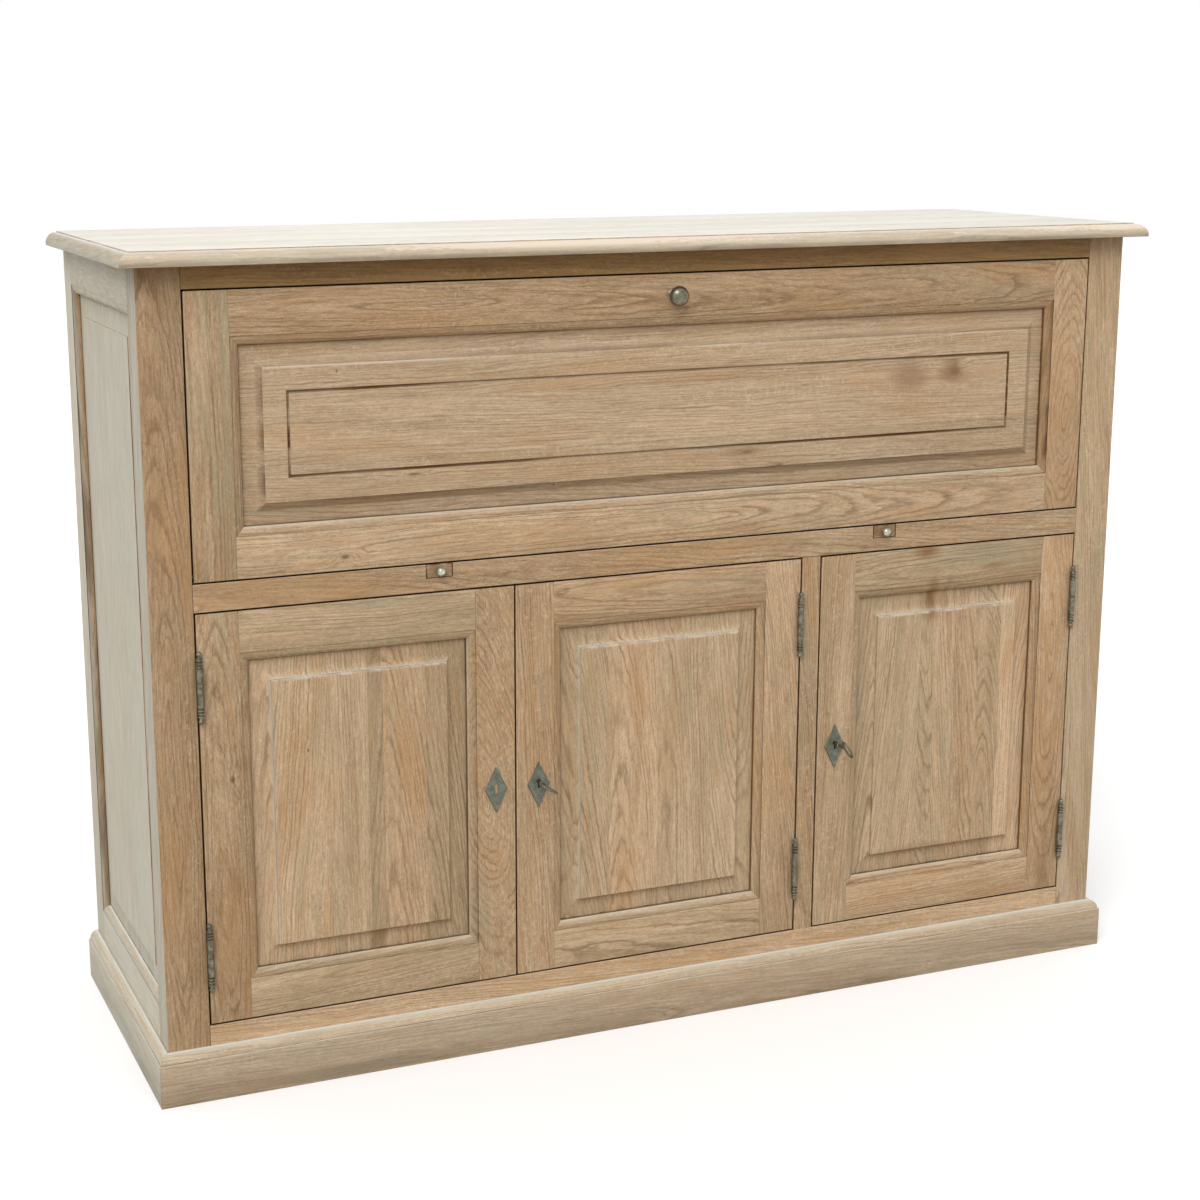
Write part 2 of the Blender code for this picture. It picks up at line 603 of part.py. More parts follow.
def flap():
    outer = (LEFT + POST_WIDTH + DOOR_GAP, RIGHT - POST_WIDTH - DOOR_GAP, FLAP_BOTTOM, FLAP_TOP)
    window = windowOf(outer, (FLAP_STILE, FLAP_STILE, FLAP_BOTTOM_RAIL, FLAP_TOP_RAIL))
    frame = framedWindow("flap_frame", frontFace, outer, window, DOOR_THICKNESS)
    reach = PIVOT_REACH + FIT_GAP
    cut(frame, pivotTool("left_flap_bore", (outer[0] - DOOR_GAP, outer[0] + reach)))
    cut(frame, pivotTool("right_flap_bore", (outer[1] - reach, outer[1] + DOOR_GAP)))
    margin_depth = MOULDING_DEPTH + FIT_GAP
    field = FLAP_CHAMFER
    groove = field + GROOVE_INSET
    rise = [(0, margin_depth), (field, FIELD_DEPTH), (groove - GROOVE_WIDTH / 2, FIELD_DEPTH),
            (groove, FIELD_DEPTH + GROOVE_DEPTH), (groove + GROOVE_WIDTH / 2, FIELD_DEPTH)]
    board = panel("flap_panel", frontFace, window, FLAP_MARGIN, rise, DOOR_THICKNESS)
    knob_height = FLAP_TOP - FLAP_TOP_RAIL / 2
    head = arc((0, FLAP_KNOB_OUT - FLAP_KNOB_HEAD), (FLAP_KNOB_RADIUS, FLAP_KNOB_HEAD), -60, 90, 8)
    profile = [(0, 0), (FLAP_KNOB_ROSE_RADIUS, 0), (FLAP_KNOB_ROSE_RADIUS, FLAP_KNOB_ROSE),
               (FLAP_KNOB_NECK_RADIUS, FLAP_KNOB_NECK_OUT), *head[:-1], (0, FLAP_KNOB_OUT)]
    knob = turned("flap_knob", profile, (0, FRONT - FIT_GAP, knob_height), (0, -1, 0), "oak", 20)
    hang("flap_axis", FLAP_AXIS, [frame, board, knob])
    length = 2 * PIVOT_REACH + DOOR_GAP
    for name, start in (("flap_pivot_left", LEFT + POST_WIDTH - PIVOT_REACH),
                        ("flap_pivot_right", outer[1] - PIVOT_REACH)):
        turned(name, [(0, 0), (PIVOT_RADIUS, 0), (PIVOT_RADIUS, length), (0, length)],
               (start, FLAP_AXIS.y, FLAP_AXIS.z), (1, 0, 0), "steel", 16)


# Doors

def keyhole(centre_x, height, slack, slot_length):
    """Outline of a round hole with a slot below it, as (x, z)."""
    radius = KEY_RADIUS + slack
    half = KEY_BIT_WIDTH / 2 + slack
    opening = math.degrees(math.asin(half / radius))
    circle = arc((centre_x, height), (radius, radius), -90 + opening, 270 - opening, 14)
    return circle + [(centre_x - half, height - slot_length), (centre_x + half, height - slot_length)]


def keyholeTool(name, centre_x, y, slack):
    outline = keyhole(centre_x, KEY_HEIGHT, slack, KEY_BIT_REACH + slack)
    return prism(name, [(x, y[0], z) for x, z in outline], [(x, y[1], z) for x, z in outline])


def escutcheon(name, centre_x):
    """A diamond plate with bevelled edges and a keyhole."""
    half_width = ESCUTCHEON_WIDTH / 2
    half_height = ESCUTCHEON_HEIGHT / 2
    back = FRONT - FIT_GAP
    face = back - ESCUTCHEON_THICKNESS
    bevel = 1 - ESCUTCHEON_THICKNESS / half_width
    rings = []
    for y, share in ((back, 1), (face + ESCUTCHEON_THICKNESS / 3, 1), (face, bevel)):
        rings.append([(centre_x + share * x, y, ESCUTCHEON_CENTRE + share * z)
                      for x, z in ((half_width, 0), (0, half_height), (-half_width, 0), (0, -half_height))])
    plate = loft(name, rings, "steel")
    cut(plate, keyholeTool(name + "_keyhole", centre_x, (face - FIT_GAP, back + FIT_GAP), FIT_GAP))
    return plate


def hinge(name, axis_x, leaf_x, height):
    """A pin hinge: the lower half has the pin, the upper half drops over it."""
    base_z = height - HINGE_LENGTH / 2
    half = HINGE_LENGTH / 2 - FIT_GAP / 2
    radius = HINGE_BARREL_RADIUS
    waist = FINIAL_NECK_RADIUS
    y = FRONT - HINGE_AXIS_IN_FRONT
    foot = -FINIAL_RADIUS - FINIAL_NECK_LENGTH
    ball = arc((0, foot), (FINIAL_RADIUS, FINIAL_RADIUS), -90, 50, 6)
    pin_top = half + HINGE_PIN_REACH
    lower = [(0, foot - FINIAL_RADIUS), *ball[1:], (waist, 0), (radius, 0), (radius, half),
             (HINGE_PIN_RADIUS, half), (HINGE_PIN_RADIUS, pin_top), (0, pin_top)]
    fixed = turned(name + "_lower", lower, (axis_x, y, base_z), (0, 0, 1), "steel")
    bore = HINGE_PIN_RADIUS + FIT_GAP
    start = half + FIT_GAP
    crown = HINGE_LENGTH + FINIAL_NECK_LENGTH + FINIAL_RADIUS
    top_ball = arc((0, crown), (FINIAL_RADIUS, FINIAL_RADIUS), -50, 90, 6)
    bore_end = half + HINGE_PIN_REACH + FIT_GAP
    upper = [(0, bore_end), (bore, bore_end), (bore, start), (radius, start), (radius, HINGE_LENGTH),
             (waist, HINGE_LENGTH), *top_ball[:-1], (0, crown + FINIAL_RADIUS)]
    moving = turned(name + "_upper", upper, (axis_x, y, base_z), (0, 0, 1), "steel")
    leaf_y = (y, FRONT + LEAF_DEPTH)
    add(fixed, box(name + "_lower_leaf", leaf_x, leaf_y, (base_z + FIT_GAP, base_z + half - FIT_GAP)))
    add(moving, box(name + "_upper_leaf", leaf_x, leaf_y,
                    (base_z + start + FIT_GAP, base_z + HINGE_LENGTH - FIT_GAP)))
    cut(moving, turned(name + "_bore", [(0, 0), (bore, 0), (bore, bore_end - start + FIT_GAP),
                                        (0, bore_end - start + FIT_GAP)],
                       (axis_x, y, base_z + start - FIT_GAP), (0, 0, 1), "steel"))
    return moving


def lockSocket(name, edge_x):
    """Cutter for the mortise that a lock bolt is thrown into, across the edge at edge_x."""
    y, z = lockBoltLimits(SOCKET_SLACK)
    return box(name, (edge_x - LOCK_BOLT_THROW, edge_x + FIT_GAP), y, z)


def lockBoltLimits(slack):
    back = FRONT + DOOR_THICKNESS - LOCK_CASE_DEPTH + (LOCK_CASE_DEPTH - LOCK_BOLT_THICKNESS) / 2
    height = KEY_HEIGHT - LOCK_BOLT_BELOW_KEY
    half = LOCK_BOLT_HEIGHT / 2
    return (back - slack, back + LOCK_BOLT_THICKNESS + slack), (height - half - slack, height + half + slack)


def slideBolt():
    """A bar in a guide on the left door's back, which slides up behind the middle rail."""
    centre = LEFT_DOOR_RIGHT - SLIDE_BOLT_INSET
    half = SLIDE_BOLT_WIDTH / 2
    front = FRONT + RAIL_THICKNESS + SLIDE_BOLT_BEHIND_RAIL
    back = front + SLIDE_BOLT_THICKNESS
    top = MIDDLE_RAIL_BOTTOM - STOP_LIP_HEIGHT - BOLT_SETBACK
    bottom = top - SLIDE_BOLT_LENGTH
    bolt = box("left_door_bolt", (centre - half, centre + half), (front, back), (bottom, top), "steel")
    length = SLIDE_BOLT_THICKNESS / 2 + SLIDE_BOLT_KNOB_OUT
    radius = SLIDE_BOLT_KNOB_RADIUS
    add(bolt, turned("bolt_knob", [(0, 0), (radius, 0), (radius, length), (0, length)],
                     (centre, back - SLIDE_BOLT_THICKNESS / 2, bottom + SLIDE_BOLT_KNOB_FROM_END),
                     (0, 1, 0), "steel"))
    outer = half + FIT_GAP + BOLT_GUIDE_WALL
    middle = (bottom + SLIDE_BOLT_KNOB_FROM_END + top) / 2
    ends = (middle - BOLT_GUIDE_LENGTH / 2, middle + BOLT_GUIDE_LENGTH / 2)
    guide = box("left_door_bolt_guide", (centre - outer, centre + outer),
                (BEHIND_DOORS, back + FIT_GAP + BOLT_GUIDE_WALL), ends, "steel")
    cut(guide, box("bolt_channel", (centre - half - FIT_GAP, centre + half + FIT_GAP),
                   (front - FIT_GAP, back + FIT_GAP), (ends[0] - CUT_PAST, ends[1] + CUT_PAST)))
    return bolt, guide, (centre, front, bottom)


def doorLeaf(name, left, right):
    outer = (left, right, DOOR_BOTTOM, DOOR_TOP)
    window = windowOf(outer, (DOOR_MEMBER,) * 4)
    frame = framedWindow(name + "_frame", frontFace, outer, window, DOOR_THICKNESS)
    tongue_back = MOULDING_DEPTH + FIT_GAP + TONGUE_THICKNESS
    rise = coveRise(DOOR_COVE, FIELD_DEPTH)
    board = panel(name + "_panel", frontFace, window, DOOR_MARGIN, rise, tongue_back)
    return frame, board


def doorHinges(name, post_edge, way):
    """Both hinges in the gap beside post_edge; way is +1 where the door lies to the right."""
    axis_x = post_edge + way * (DOOR_GAP / 2 + HINGE_AXIS_OFFSET)
    leaf_x = sorted((post_edge + way * FIT_GAP, post_edge + way * (FIT_GAP + LEAF_THICKNESS)))
    heights = {"bottom": DOOR_BOTTOM + HINGE_FROM_DOOR_END, "top": DOOR_TOP - HINGE_FROM_DOOR_END}
    halves = [hinge(f"{name}_{place}_hinge", axis_x, leaf_x, height) for place, height in heights.items()]
    return halves, (axis_x, FRONT - HINGE_AXIS_IN_FRONT, 0)


def leftDoor():
    frame, board = doorLeaf("left_door", LEFT_DOOR_LEFT, LEFT_DOOR_RIGHT)
    plate = escutcheon("left_door_escutcheon", LEFT_DOOR_RIGHT - LOCK_INSET)
    cut(frame, lockSocket("middle_lock_socket", LEFT_DOOR_RIGHT))
    bolt, guide, bolt_start = slideBolt()
    halves, axis = doorHinges("left_door", LEFT + POST_WIDTH, 1)
    door = hang("left_door_axis", axis, [frame, board, plate, guide, *halves])
    carrier = hang("left_bolt_axis", bolt_start, [bolt])
    carrier.parent = door
    carrier.location -= Vector(axis)


def lockedDoor(name, left, right, inset, post_edge, turn):
    """A door that is hinged at its right and has a lock, a bolt and a key at its left."""
    frame, board = doorLeaf(name, left, right)
    key_x = left + inset
    plate = escutcheon(name + "_escutcheon", key_x)
    case_front = FRONT + DOOR_THICKNESS - LOCK_CASE_DEPTH
    case_back = FRONT + DOOR_THICKNESS
    case_z = (KEY_HEIGHT - LOCK_BOLT_BELOW_KEY / 2 - LOCK_CASE_HEIGHT / 2,
              KEY_HEIGHT - LOCK_BOLT_BELOW_KEY / 2 + LOCK_CASE_HEIGHT / 2)
    cut(frame, box(name + "_lock_pocket", (left - FIT_GAP, left + LOCK_CASE_WIDTH + FIT_GAP),
                   (case_front - FIT_GAP, case_back + FIT_GAP), (case_z[0] - FIT_GAP, case_z[1] + FIT_GAP)))
    cut(frame, keyholeTool(name + "_key_bore", key_x, (FRONT - FIT_GAP, case_front + FIT_GAP), FIT_GAP))
    case = box(name + "_lock_case", (left, left + LOCK_CASE_WIDTH), (case_front, case_back), case_z, "steel")
    wall = LOCK_CASE_WALL
    cut(case, box(name + "_lock_hollow", (left + wall, left + LOCK_CASE_WIDTH - wall),
                  (case_front - wall, case_back - wall), (case_z[0] + wall, case_z[1] - wall)))
    slot_y, slot_z = lockBoltLimits(FIT_GAP)
    cut(case, box(name + "_bolt_slot", (left - wall, left + 2 * wall), slot_y, slot_z))
    bolt_y, bolt_z = lockBoltLimits(0)
    bolt = box(name + "_lock_bolt", (left + BOLT_SETBACK, left + LOCK_BOLT_LENGTH), bolt_y, bolt_z, "steel")
    talon_left = key_x - KEY_BIT_WIDTH / 2 - FIT_GAP * 3
    talon_right = key_x + KEY_BIT_REACH + KEY_BIT_WIDTH / 2
    talon_bottom = KEY_HEIGHT - KEY_BIT_REACH - KEY_BIT_WIDTH / 2
    cut(bolt, box(name + "_talon", (talon_left, talon_right), (case_front, case_back),
                  (talon_bottom, bolt_z[1] + FIT_GAP)))
    door_key = key(name + "_key", key_x, turn)
    halves, axis = doorHinges(name, post_edge, -1)
    door = hang(name + "_axis", axis, [frame, board, plate, case, *halves])
    carriers = [hang(name + "_bolt_axis", (left, bolt_y[0], bolt_z[0]), [bolt]),
                hang(name + "_key_axis", (key_x, FRONT, KEY_HEIGHT), [door_key])]
    for carrier in carriers:
        carrier.parent = door
        carrier.location -= Vector(axis)


def key(name, centre_x, turn):
    """A shank with a bit inside the lock and an oval bow in front, both turned alike."""
    out = KEY_BOW_OUT - KEY_BOW_HALF_LENGTH + KEY_BOW_WIRE / 2
    into = DOOR_THICKNESS - LOCK_CASE_WALL - FIT_GAP * 3
    collar_start = out - KEY_COLLAR_OUT - KEY_COLLAR_LENGTH / 2
    collar_end = collar_start + KEY_COLLAR_LENGTH
    profile = [(0, 0), (KEY_RADIUS, 0), (KEY_RADIUS, collar_start), (KEY_COLLAR_RADIUS, collar_start),
               (KEY_COLLAR_RADIUS, collar_end), (KEY_RADIUS, collar_end), (KEY_RADIUS, out + into),
               (0, out + into)]
    shank = turned(name, profile, (centre_x, FRONT - out, KEY_HEIGHT), (0, 1, 0), "steel")
    bolt_y = lockBoltLimits(0)[0]
    shy = (LOCK_BOLT_THICKNESS - KEY_BIT_DEPTH) / 2
    bit_y = (bolt_y[0] + shy, bolt_y[1] - shy)
    half = KEY_BIT_WIDTH / 2
    bit = box(name + "_bit", (0, KEY_BIT_REACH), bit_y, (-half, half), "steel")
    bit.data.transform(Matrix.Translation((centre_x, 0, KEY_HEIGHT)) @ Matrix.Rotation(-turn, 4, "Y"))
    add(shank, bit)
    bow = oval(name + "_bow")
    place = Matrix.Translation((centre_x, FRONT - KEY_BOW_OUT, KEY_HEIGHT)) @ Matrix.Rotation(-turn, 4, "Y")
    bow.data.transform(place)
    add(shank, bow)
    return shank


def oval(name):
    """A flattened wire bent round an oval in the XY plane."""
    bm = bmesh.new()
    around = 20
    loops = []
    for i in range(around):
        angle = math.tau * i / around
        outward = Vector((math.cos(angle) * KEY_BOW_HALF_LENGTH,
                          math.sin(angle) * KEY_BOW_HALF_WIDTH, 0)).normalized()
        centre = Vector((math.cos(angle) * (KEY_BOW_HALF_WIDTH - KEY_BOW_WIRE),
                         math.sin(angle) * (KEY_BOW_HALF_LENGTH - KEY_BOW_WIRE), 0))
        ring = []
        for across, up in arc((0, 0), (KEY_BOW_WIRE, KEY_BOW_WIRE * 0.8), 0, 300, 5):
            ring.append(bm.verts.new(centre + outward * across + Vector((0, 0, up))))
        loops.append(ring)
    for i in range(around):
        near = loops[i]
        far = loops[(i + 1) % around]
        for j in range(6):
            k = (j + 1) % 6
            bm.faces.new((near[j], near[k], far[k], far[j]))
    return finish(name, bm, "steel", smooth=True)


topBoard()
plinth()
frontPosts()
sides()
frontRails()
innerBoards()
shelves()
loperAndGuide("left", LEFT + LOPER_INSET)
loperAndGuide("right", RIGHT - LOPER_INSET)
flap()
leftDoor()
lockedDoor("middle_door", MIDDLE_DOOR_LEFT, MIDDLE_DOOR_RIGHT, MIDDLE_LOCK_INSET,
           STILE_LEFT, MIDDLE_KEY_TURN)
lockedDoor("right_door", RIGHT_DOOR_LEFT, RIGHT_DOOR_RIGHT, LOCK_INSET,
           RIGHT - POST_WIDTH, RIGHT_KEY_TURN)
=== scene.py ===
# Tall oak buffet: a fall front over three panelled doors, limed oak with aged metal fittings
import math
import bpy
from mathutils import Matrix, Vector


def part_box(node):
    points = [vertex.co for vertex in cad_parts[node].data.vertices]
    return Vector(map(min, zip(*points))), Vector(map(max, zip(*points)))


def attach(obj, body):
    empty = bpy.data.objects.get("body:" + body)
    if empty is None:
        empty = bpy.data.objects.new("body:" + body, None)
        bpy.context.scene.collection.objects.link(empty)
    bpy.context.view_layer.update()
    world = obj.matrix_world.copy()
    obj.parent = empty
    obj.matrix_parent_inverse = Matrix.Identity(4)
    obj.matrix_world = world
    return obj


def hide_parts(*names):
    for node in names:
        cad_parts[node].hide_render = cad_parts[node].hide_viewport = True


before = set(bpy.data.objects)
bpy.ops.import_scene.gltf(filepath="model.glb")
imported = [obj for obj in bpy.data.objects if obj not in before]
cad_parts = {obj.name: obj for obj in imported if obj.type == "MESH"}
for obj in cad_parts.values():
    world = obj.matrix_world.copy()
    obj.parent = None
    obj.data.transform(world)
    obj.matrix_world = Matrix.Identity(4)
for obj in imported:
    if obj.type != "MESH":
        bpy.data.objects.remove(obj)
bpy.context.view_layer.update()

import zlib

import bpy
import numpy as np
from mathutils import Matrix, Vector

print("loaded", len(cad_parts), "nodes")

hair = 0.00005        # a joint between two boards, too thin to see
touch = 1e-6          # two places closer than this are the same place


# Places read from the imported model

def limits(node):
    # lowest and highest corner of a node as plain arrays
    low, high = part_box(node)
    return np.array(low), np.array(high)


def middleOf(node):
    # across and up of a node's middle
    low, high = limits(node)
    return (low[0] + high[0]) / 2, (low[2] + high[2]) / 2


leftX, frontY = limits("front_post_left")[0][:2]
rightX = limits("front_post_right")[1][0]
backY = limits("side_frame_left")[1][1]

# A face gives points in the part's axes from (along, up, depth under the face)
faces = {
    "front": lambda a, b, d: np.stack([a, frontY + d, b], axis=-1),
    "left": lambda a, b, d: np.stack([leftX + d, a, b], axis=-1),
    "right": lambda a, b, d: np.stack([rightX - d, a, b], axis=-1),
}


# Shells: a shell holds points, faces, wood coordinates and a value for each point of dirt with painted shade
# (above 0) and wear with painted highlight (below 0)

def outward(shell):
    # turns every face round if the volume that they enclose comes out negative
    points = shell["points"] - shell["points"].mean(axis=0)
    volume = 0.0
    for polygons in shell["faces"]:
        first = points[polygons[:, 0]]
        for k in range(1, polygons.shape[1] - 1):
            fan = np.cross(points[polygons[:, k]], points[polygons[:, k + 1]])
            volume += np.einsum("ij,ij->", first, fan)
    if volume < 0:
        shell["faces"] = [polygons[:, ::-1] for polygons in shell["faces"]]
    return shell


def tube(rings, ring=False):
    # rings[i, j] is point j of a closed profile at station i; quads join neighbours, flat ends close it
    stations, around = rings.shape[:2]
    index = np.arange(stations * around).reshape(stations, around)
    rows = np.concatenate([index, index[:1]]) if ring else index
    ahead = np.roll(rows, -1, axis=1)
    quads = np.stack([rows[:-1], ahead[:-1], ahead[1:], rows[1:]], axis=-1).reshape(-1, 4)
    polygons = [quads] if ring else [quads, np.stack([index[0][::-1], index[-1]])]
    return outward({"points": rings.reshape(-1, 3), "faces": polygons})


def gridSolid(a, b, depth, back, place):
    # front surface place(a, b, depth[a, b]) over a flat back; each cell is split along its steeper diagonal
    rows, columns = depth.shape
    across, up = np.meshgrid(a, b, indexing="ij")
    front = place(across, up, depth).reshape(-1, 3)
    rear = place(across, up, np.full_like(depth, back)).reshape(-1, 3)
    index = np.arange(rows * columns).reshape(rows, columns)
    p, q = index[:-1, :-1].ravel(), index[1:, :-1].ravel()
    r, s = index[1:, 1:].ravel(), index[:-1, 1:].ravel()
    flat = depth.ravel()
    mitre = np.abs(flat[p] - flat[r]) > np.abs(flat[q] - flat[s]) + 1e-9
    level = np.abs(flat[p] - flat[r]) + np.abs(flat[q] - flat[s]) < 1e-9
    along = mitre & ~level
    other = ~mitre & ~level
    rim = np.concatenate([index[:, 0], index[-1, 1:], index[-2::-1, -1], index[0, -2:0:-1]])
    ahead = np.roll(rim, -1)
    n = rows * columns
    polygons = [
        np.stack([p, q, r, s], axis=-1)[level],
        np.stack([p, q, r], axis=-1)[along], np.stack([p, r, s], axis=-1)[along],
        np.stack([p, q, s], axis=-1)[other], np.stack([q, r, s], axis=-1)[other],
        np.stack([ahead, rim, rim + n, ahead + n], axis=-1),
        (rim + n)[None, ::-1],
    ]
    used = np.unique(np.concatenate([part.ravel() for part in polygons]))
    renumber = np.zeros(2 * n, dtype=int)
    renumber[used] = np.arange(len(used))
    return outward({"points": np.concatenate([front, rear])[used],
                    "faces": [renumber[part] for part in polygons if len(part)]})


def roundedSection(width, height, radius, steps=2):
    # rectangle of width by height about the origin, its corners quarter circles of the radius
    angle = np.radians(np.linspace(0, 90, steps + 1))
    corners = []
    for k, (sx, sy) in enumerate(((1, 1), (-1, 1), (-1, -1), (1, -1))):
        turn = angle + k * math.pi / 2
        centre = np.array([sx * (width / 2 - radius), sy * (height / 2 - radius)])
        corners.append(centre + radius * np.stack([np.cos(turn), np.sin(turn)], axis=-1))
    return np.concatenate(corners)


def woodCut(name, across, depth, along, cut):
    # A board's place in its log, whose rings are round the z axis: the board is turned about its own
    # length by `turn`, moved off the pith by `pith`, and its length leans by `slope` across the rings.
    random = np.random.default_rng(zlib.crc32(name.encode()))
    turn = math.radians(cut.get("turn", random.uniform(12, 62) * random.choice([-1, 1])))
    pith = cut.get("pith", (random.uniform(-0.03, 0.03), random.uniform(0.02, 0.08)))
    slope = cut.get("slope", random.uniform(-0.12, 0.12))
    start = cut.get("start", random.uniform(0, 20))
    x = across * math.cos(turn) - depth * math.sin(turn) + pith[0]
    y = across * math.sin(turn) + depth * math.cos(turn) + pith[1] + slope * along
    tone = cut.get("tone", random.uniform(-1, 1)) - cut.get("darker", 0)
    return np.stack([x, y, along + start], axis=-1), np.full(len(x), tone)


def addWood(shell, name, axes, cut=None):
    # axes are the part's axes (0, 1 or 2) that run across the board, through it and along its grain
    points = shell["points"]
    middle = (points.max(axis=0) + points.min(axis=0)) / 2
    cut = cut or {}
    local = points - cut.get("origin", middle)
    shell["grain"], shell["tone"] = woodCut(name, *(local[:, axis] for axis in axes), cut)
    shell.setdefault("grimeAndShade", np.zeros(len(points)))
    return shell


def easedBoard(low, high, axis, ease=0.0009):
    # rounded rectangle carried along the axis; near the ends it shrinks as 1 - sin t while it moves 1 - cos t
    low, high = np.minimum(low, high), np.maximum(low, high)
    u, v = [(1, 2), (0, 2), (0, 1)][axis]
    t = np.radians([8, 45, 90])
    step = ease * (1 - np.cos(t))
    shrink = ease * (1 - np.sin(t))
    stations = np.concatenate([low[axis] + step, (high[axis] - step)[::-1]])
    insets = np.concatenate([shrink, shrink[::-1]])
    rings = []
    for station, inset in zip(stations, insets):
        wide, tall = high[u] - low[u] - 2 * inset, high[v] - low[v] - 2 * inset
        section = roundedSection(wide, tall, max(ease - inset, ease * 0.1))
        ring = np.full((len(section), 3), station)
        ring[:, u] = section[:, 0] + (low[u] + high[u]) / 2
        ring[:, v] = section[:, 1] + (low[v] + high[v]) / 2
        rings.append(ring)
    return tube(np.array(rings))


def edgeBoard(low, high, side, recesses, ease=0.0006):
    # an upright board as a grid over its left or right edge: sunk by ease along the rim, and by each
    # recess's own depth inside (front, back, bottom, top, depth)
    edge, way = (low[0], 1) if side == "left" else (high[0], -1)
    across = [low[1], low[1] + ease, high[1] - ease, high[1]]
    up = [low[2], low[2] + ease, high[2] - ease, high[2]]
    for front, back, bottom, top, depth in recesses:
        across += [front, front + hair, back - hair, back]
        up += [bottom, bottom + hair, top - hair, top]
    across = np.unique([y for y in across if low[1] <= y <= high[1]])
    up = np.unique(up)
    y, z = np.meshgrid(across, up, indexing="ij")
    rim = (y < low[1] + touch) | (y > high[1] - touch) | (z < low[2] + touch) | (z > high[2] - touch)
    sunk = np.where(rim, ease, 0.0)
    half = hair / 2
    for front, back, bottom, top, depth in recesses:
        inside = (y > front + half) & (y < back - half) & (z > bottom + half) & (z < top - half)
        sunk = np.where(inside, depth, sunk)
    return gridSolid(across, up, sunk, high[0] - low[0],
                     lambda y, z, sink: np.stack([edge + way * sink, y, z], axis=-1))


lockRoom = {"boltGap": 0.001, "boltDepth": 0.008, "caseGap": 0.0003}


def boltSocket(door):
    # room for a door's thrown lock bolt in the edge beside it
    low, high = limits(door + "_lock_bolt")
    gap = lockRoom["boltGap"]
    return low[1] - gap, high[1] + gap, low[2] - gap, high[2] + gap, lockRoom["boltDepth"]


def lockPocket(door):
    # the lock case's place in its stile, open at the back and at the edge
    low, high = limits(door + "_lock_case")
    gap = lockRoom["caseGap"]
    return low[1] - gap, high[1] + gap, low[2] - gap, high[2] + gap, high[0] - low[0] + gap


def sectionBoard(sections, ease=0.0004):
    # sections are pairs of an x and the (y, z) outline there; both ends shrink a little to the middle
    rings = []
    for k, (x, outline) in enumerate(sections):
        section = np.asarray(outline)
        middle = (section.max(axis=0) + section.min(axis=0)) / 2
        if k in (0, len(sections) - 1):
            size = section.max(axis=0) - section.min(axis=0)
            section = middle + (section - middle) * (1 - 2 * ease / size)
        rings.append(np.column_stack([np.full(len(section), x), section]))
    return tube(np.array(rings))


def turned(profile, base, axis, segments=32):
    # profile (radius, distance) spun about a line from base along axis, with a pole where the radius is 0
    profile = np.asarray(profile, float)
    axis = np.asarray(axis, float) / np.linalg.norm(axis)
    side = np.cross(axis, (0, 0, 1) if abs(axis[2]) < 0.9 else (1, 0, 0))
    side /= np.linalg.norm(side)
    other = np.cross(axis, side)
    angle = np.linspace(0, math.tau, segments, endpoint=False)
    circle = np.cos(angle)[:, None] * side + np.sin(angle)[:, None] * other
    inner = profile[1:-1]
    rings = np.asarray(base) + inner[:, 1, None, None] * axis + inner[:, 0, None, None] * circle
    count = len(inner)
    index = np.arange(count * segments).reshape(count, segments)
    ahead = np.roll(index, -1, axis=1)
    quads = np.stack([index[:-1], ahead[:-1], ahead[1:], index[1:]], axis=-1).reshape(-1, 4)
    poles = np.asarray(base) + profile[[0, -1], 1, None] * axis
    first, last = count * segments, count * segments + 1
    fans = [np.stack([np.full(segments, first), ahead[0], index[0]], axis=-1),
            np.stack([np.full(segments, last), index[-1], ahead[-1]], axis=-1)]
    return outward({"points": np.concatenate([rings.reshape(-1, 3), poles]), "faces": [quads, *fans]})


# How strongly lime with painted sheen lies on what looks up or out to a side, and painted shade (below 0)
# inside the gaps
sheenShadeLook = {"side": 0.8, "gap": -0.8, "rim": 0.004, "edgeOn": 0.36, "levelled": 0.9}


def limeSheenShadeOf(mesh, shells, shadeGaps):
    # painted sheen with the lime: z cubed for a face that looks up, a share of x cubed for one that looks out
    # to its side, and painted shade, the gap's value, on faces that the front doesn't see, away from the
    # carcase's own sides; a shell's pale value is the least lime that it takes
    look = sheenShadeLook
    normals, middles = np.empty((2, 3 * len(mesh.polygons)), np.float32)
    mesh.polygons.foreach_get("normal", normals)
    mesh.polygons.foreach_get("center", middles)
    normals = normals.reshape(-1, 3)
    across = middles[0::3] - (leftX + rightX) / 2
    away = np.abs(across) < (rightX - leftX) / 2 - look["rim"]
    up = np.clip(normals[:, 2], 0, 1)
    aside = np.clip(normals[:, 0] * np.sign(across), 0, 1)
    limeSheenShade = np.maximum(up ** 3, look["side"] * aside ** 3)
    unseen = np.abs(normals[:, 1]) < look["edgeOn"]
    # painted shade on faces inside the gaps
    gapShade = shadeGaps & unseen & (away | (np.abs(normals[:, 2]) > look["levelled"]))
    counts = [sum(len(polygons) for polygons in shell["faces"]) for shell in shells]
    pale = np.repeat([shell.get("pale", 0.0) for shell in shells], counts)
    return np.where(gapShade, look["gap"], np.maximum(limeSheenShade, pale))


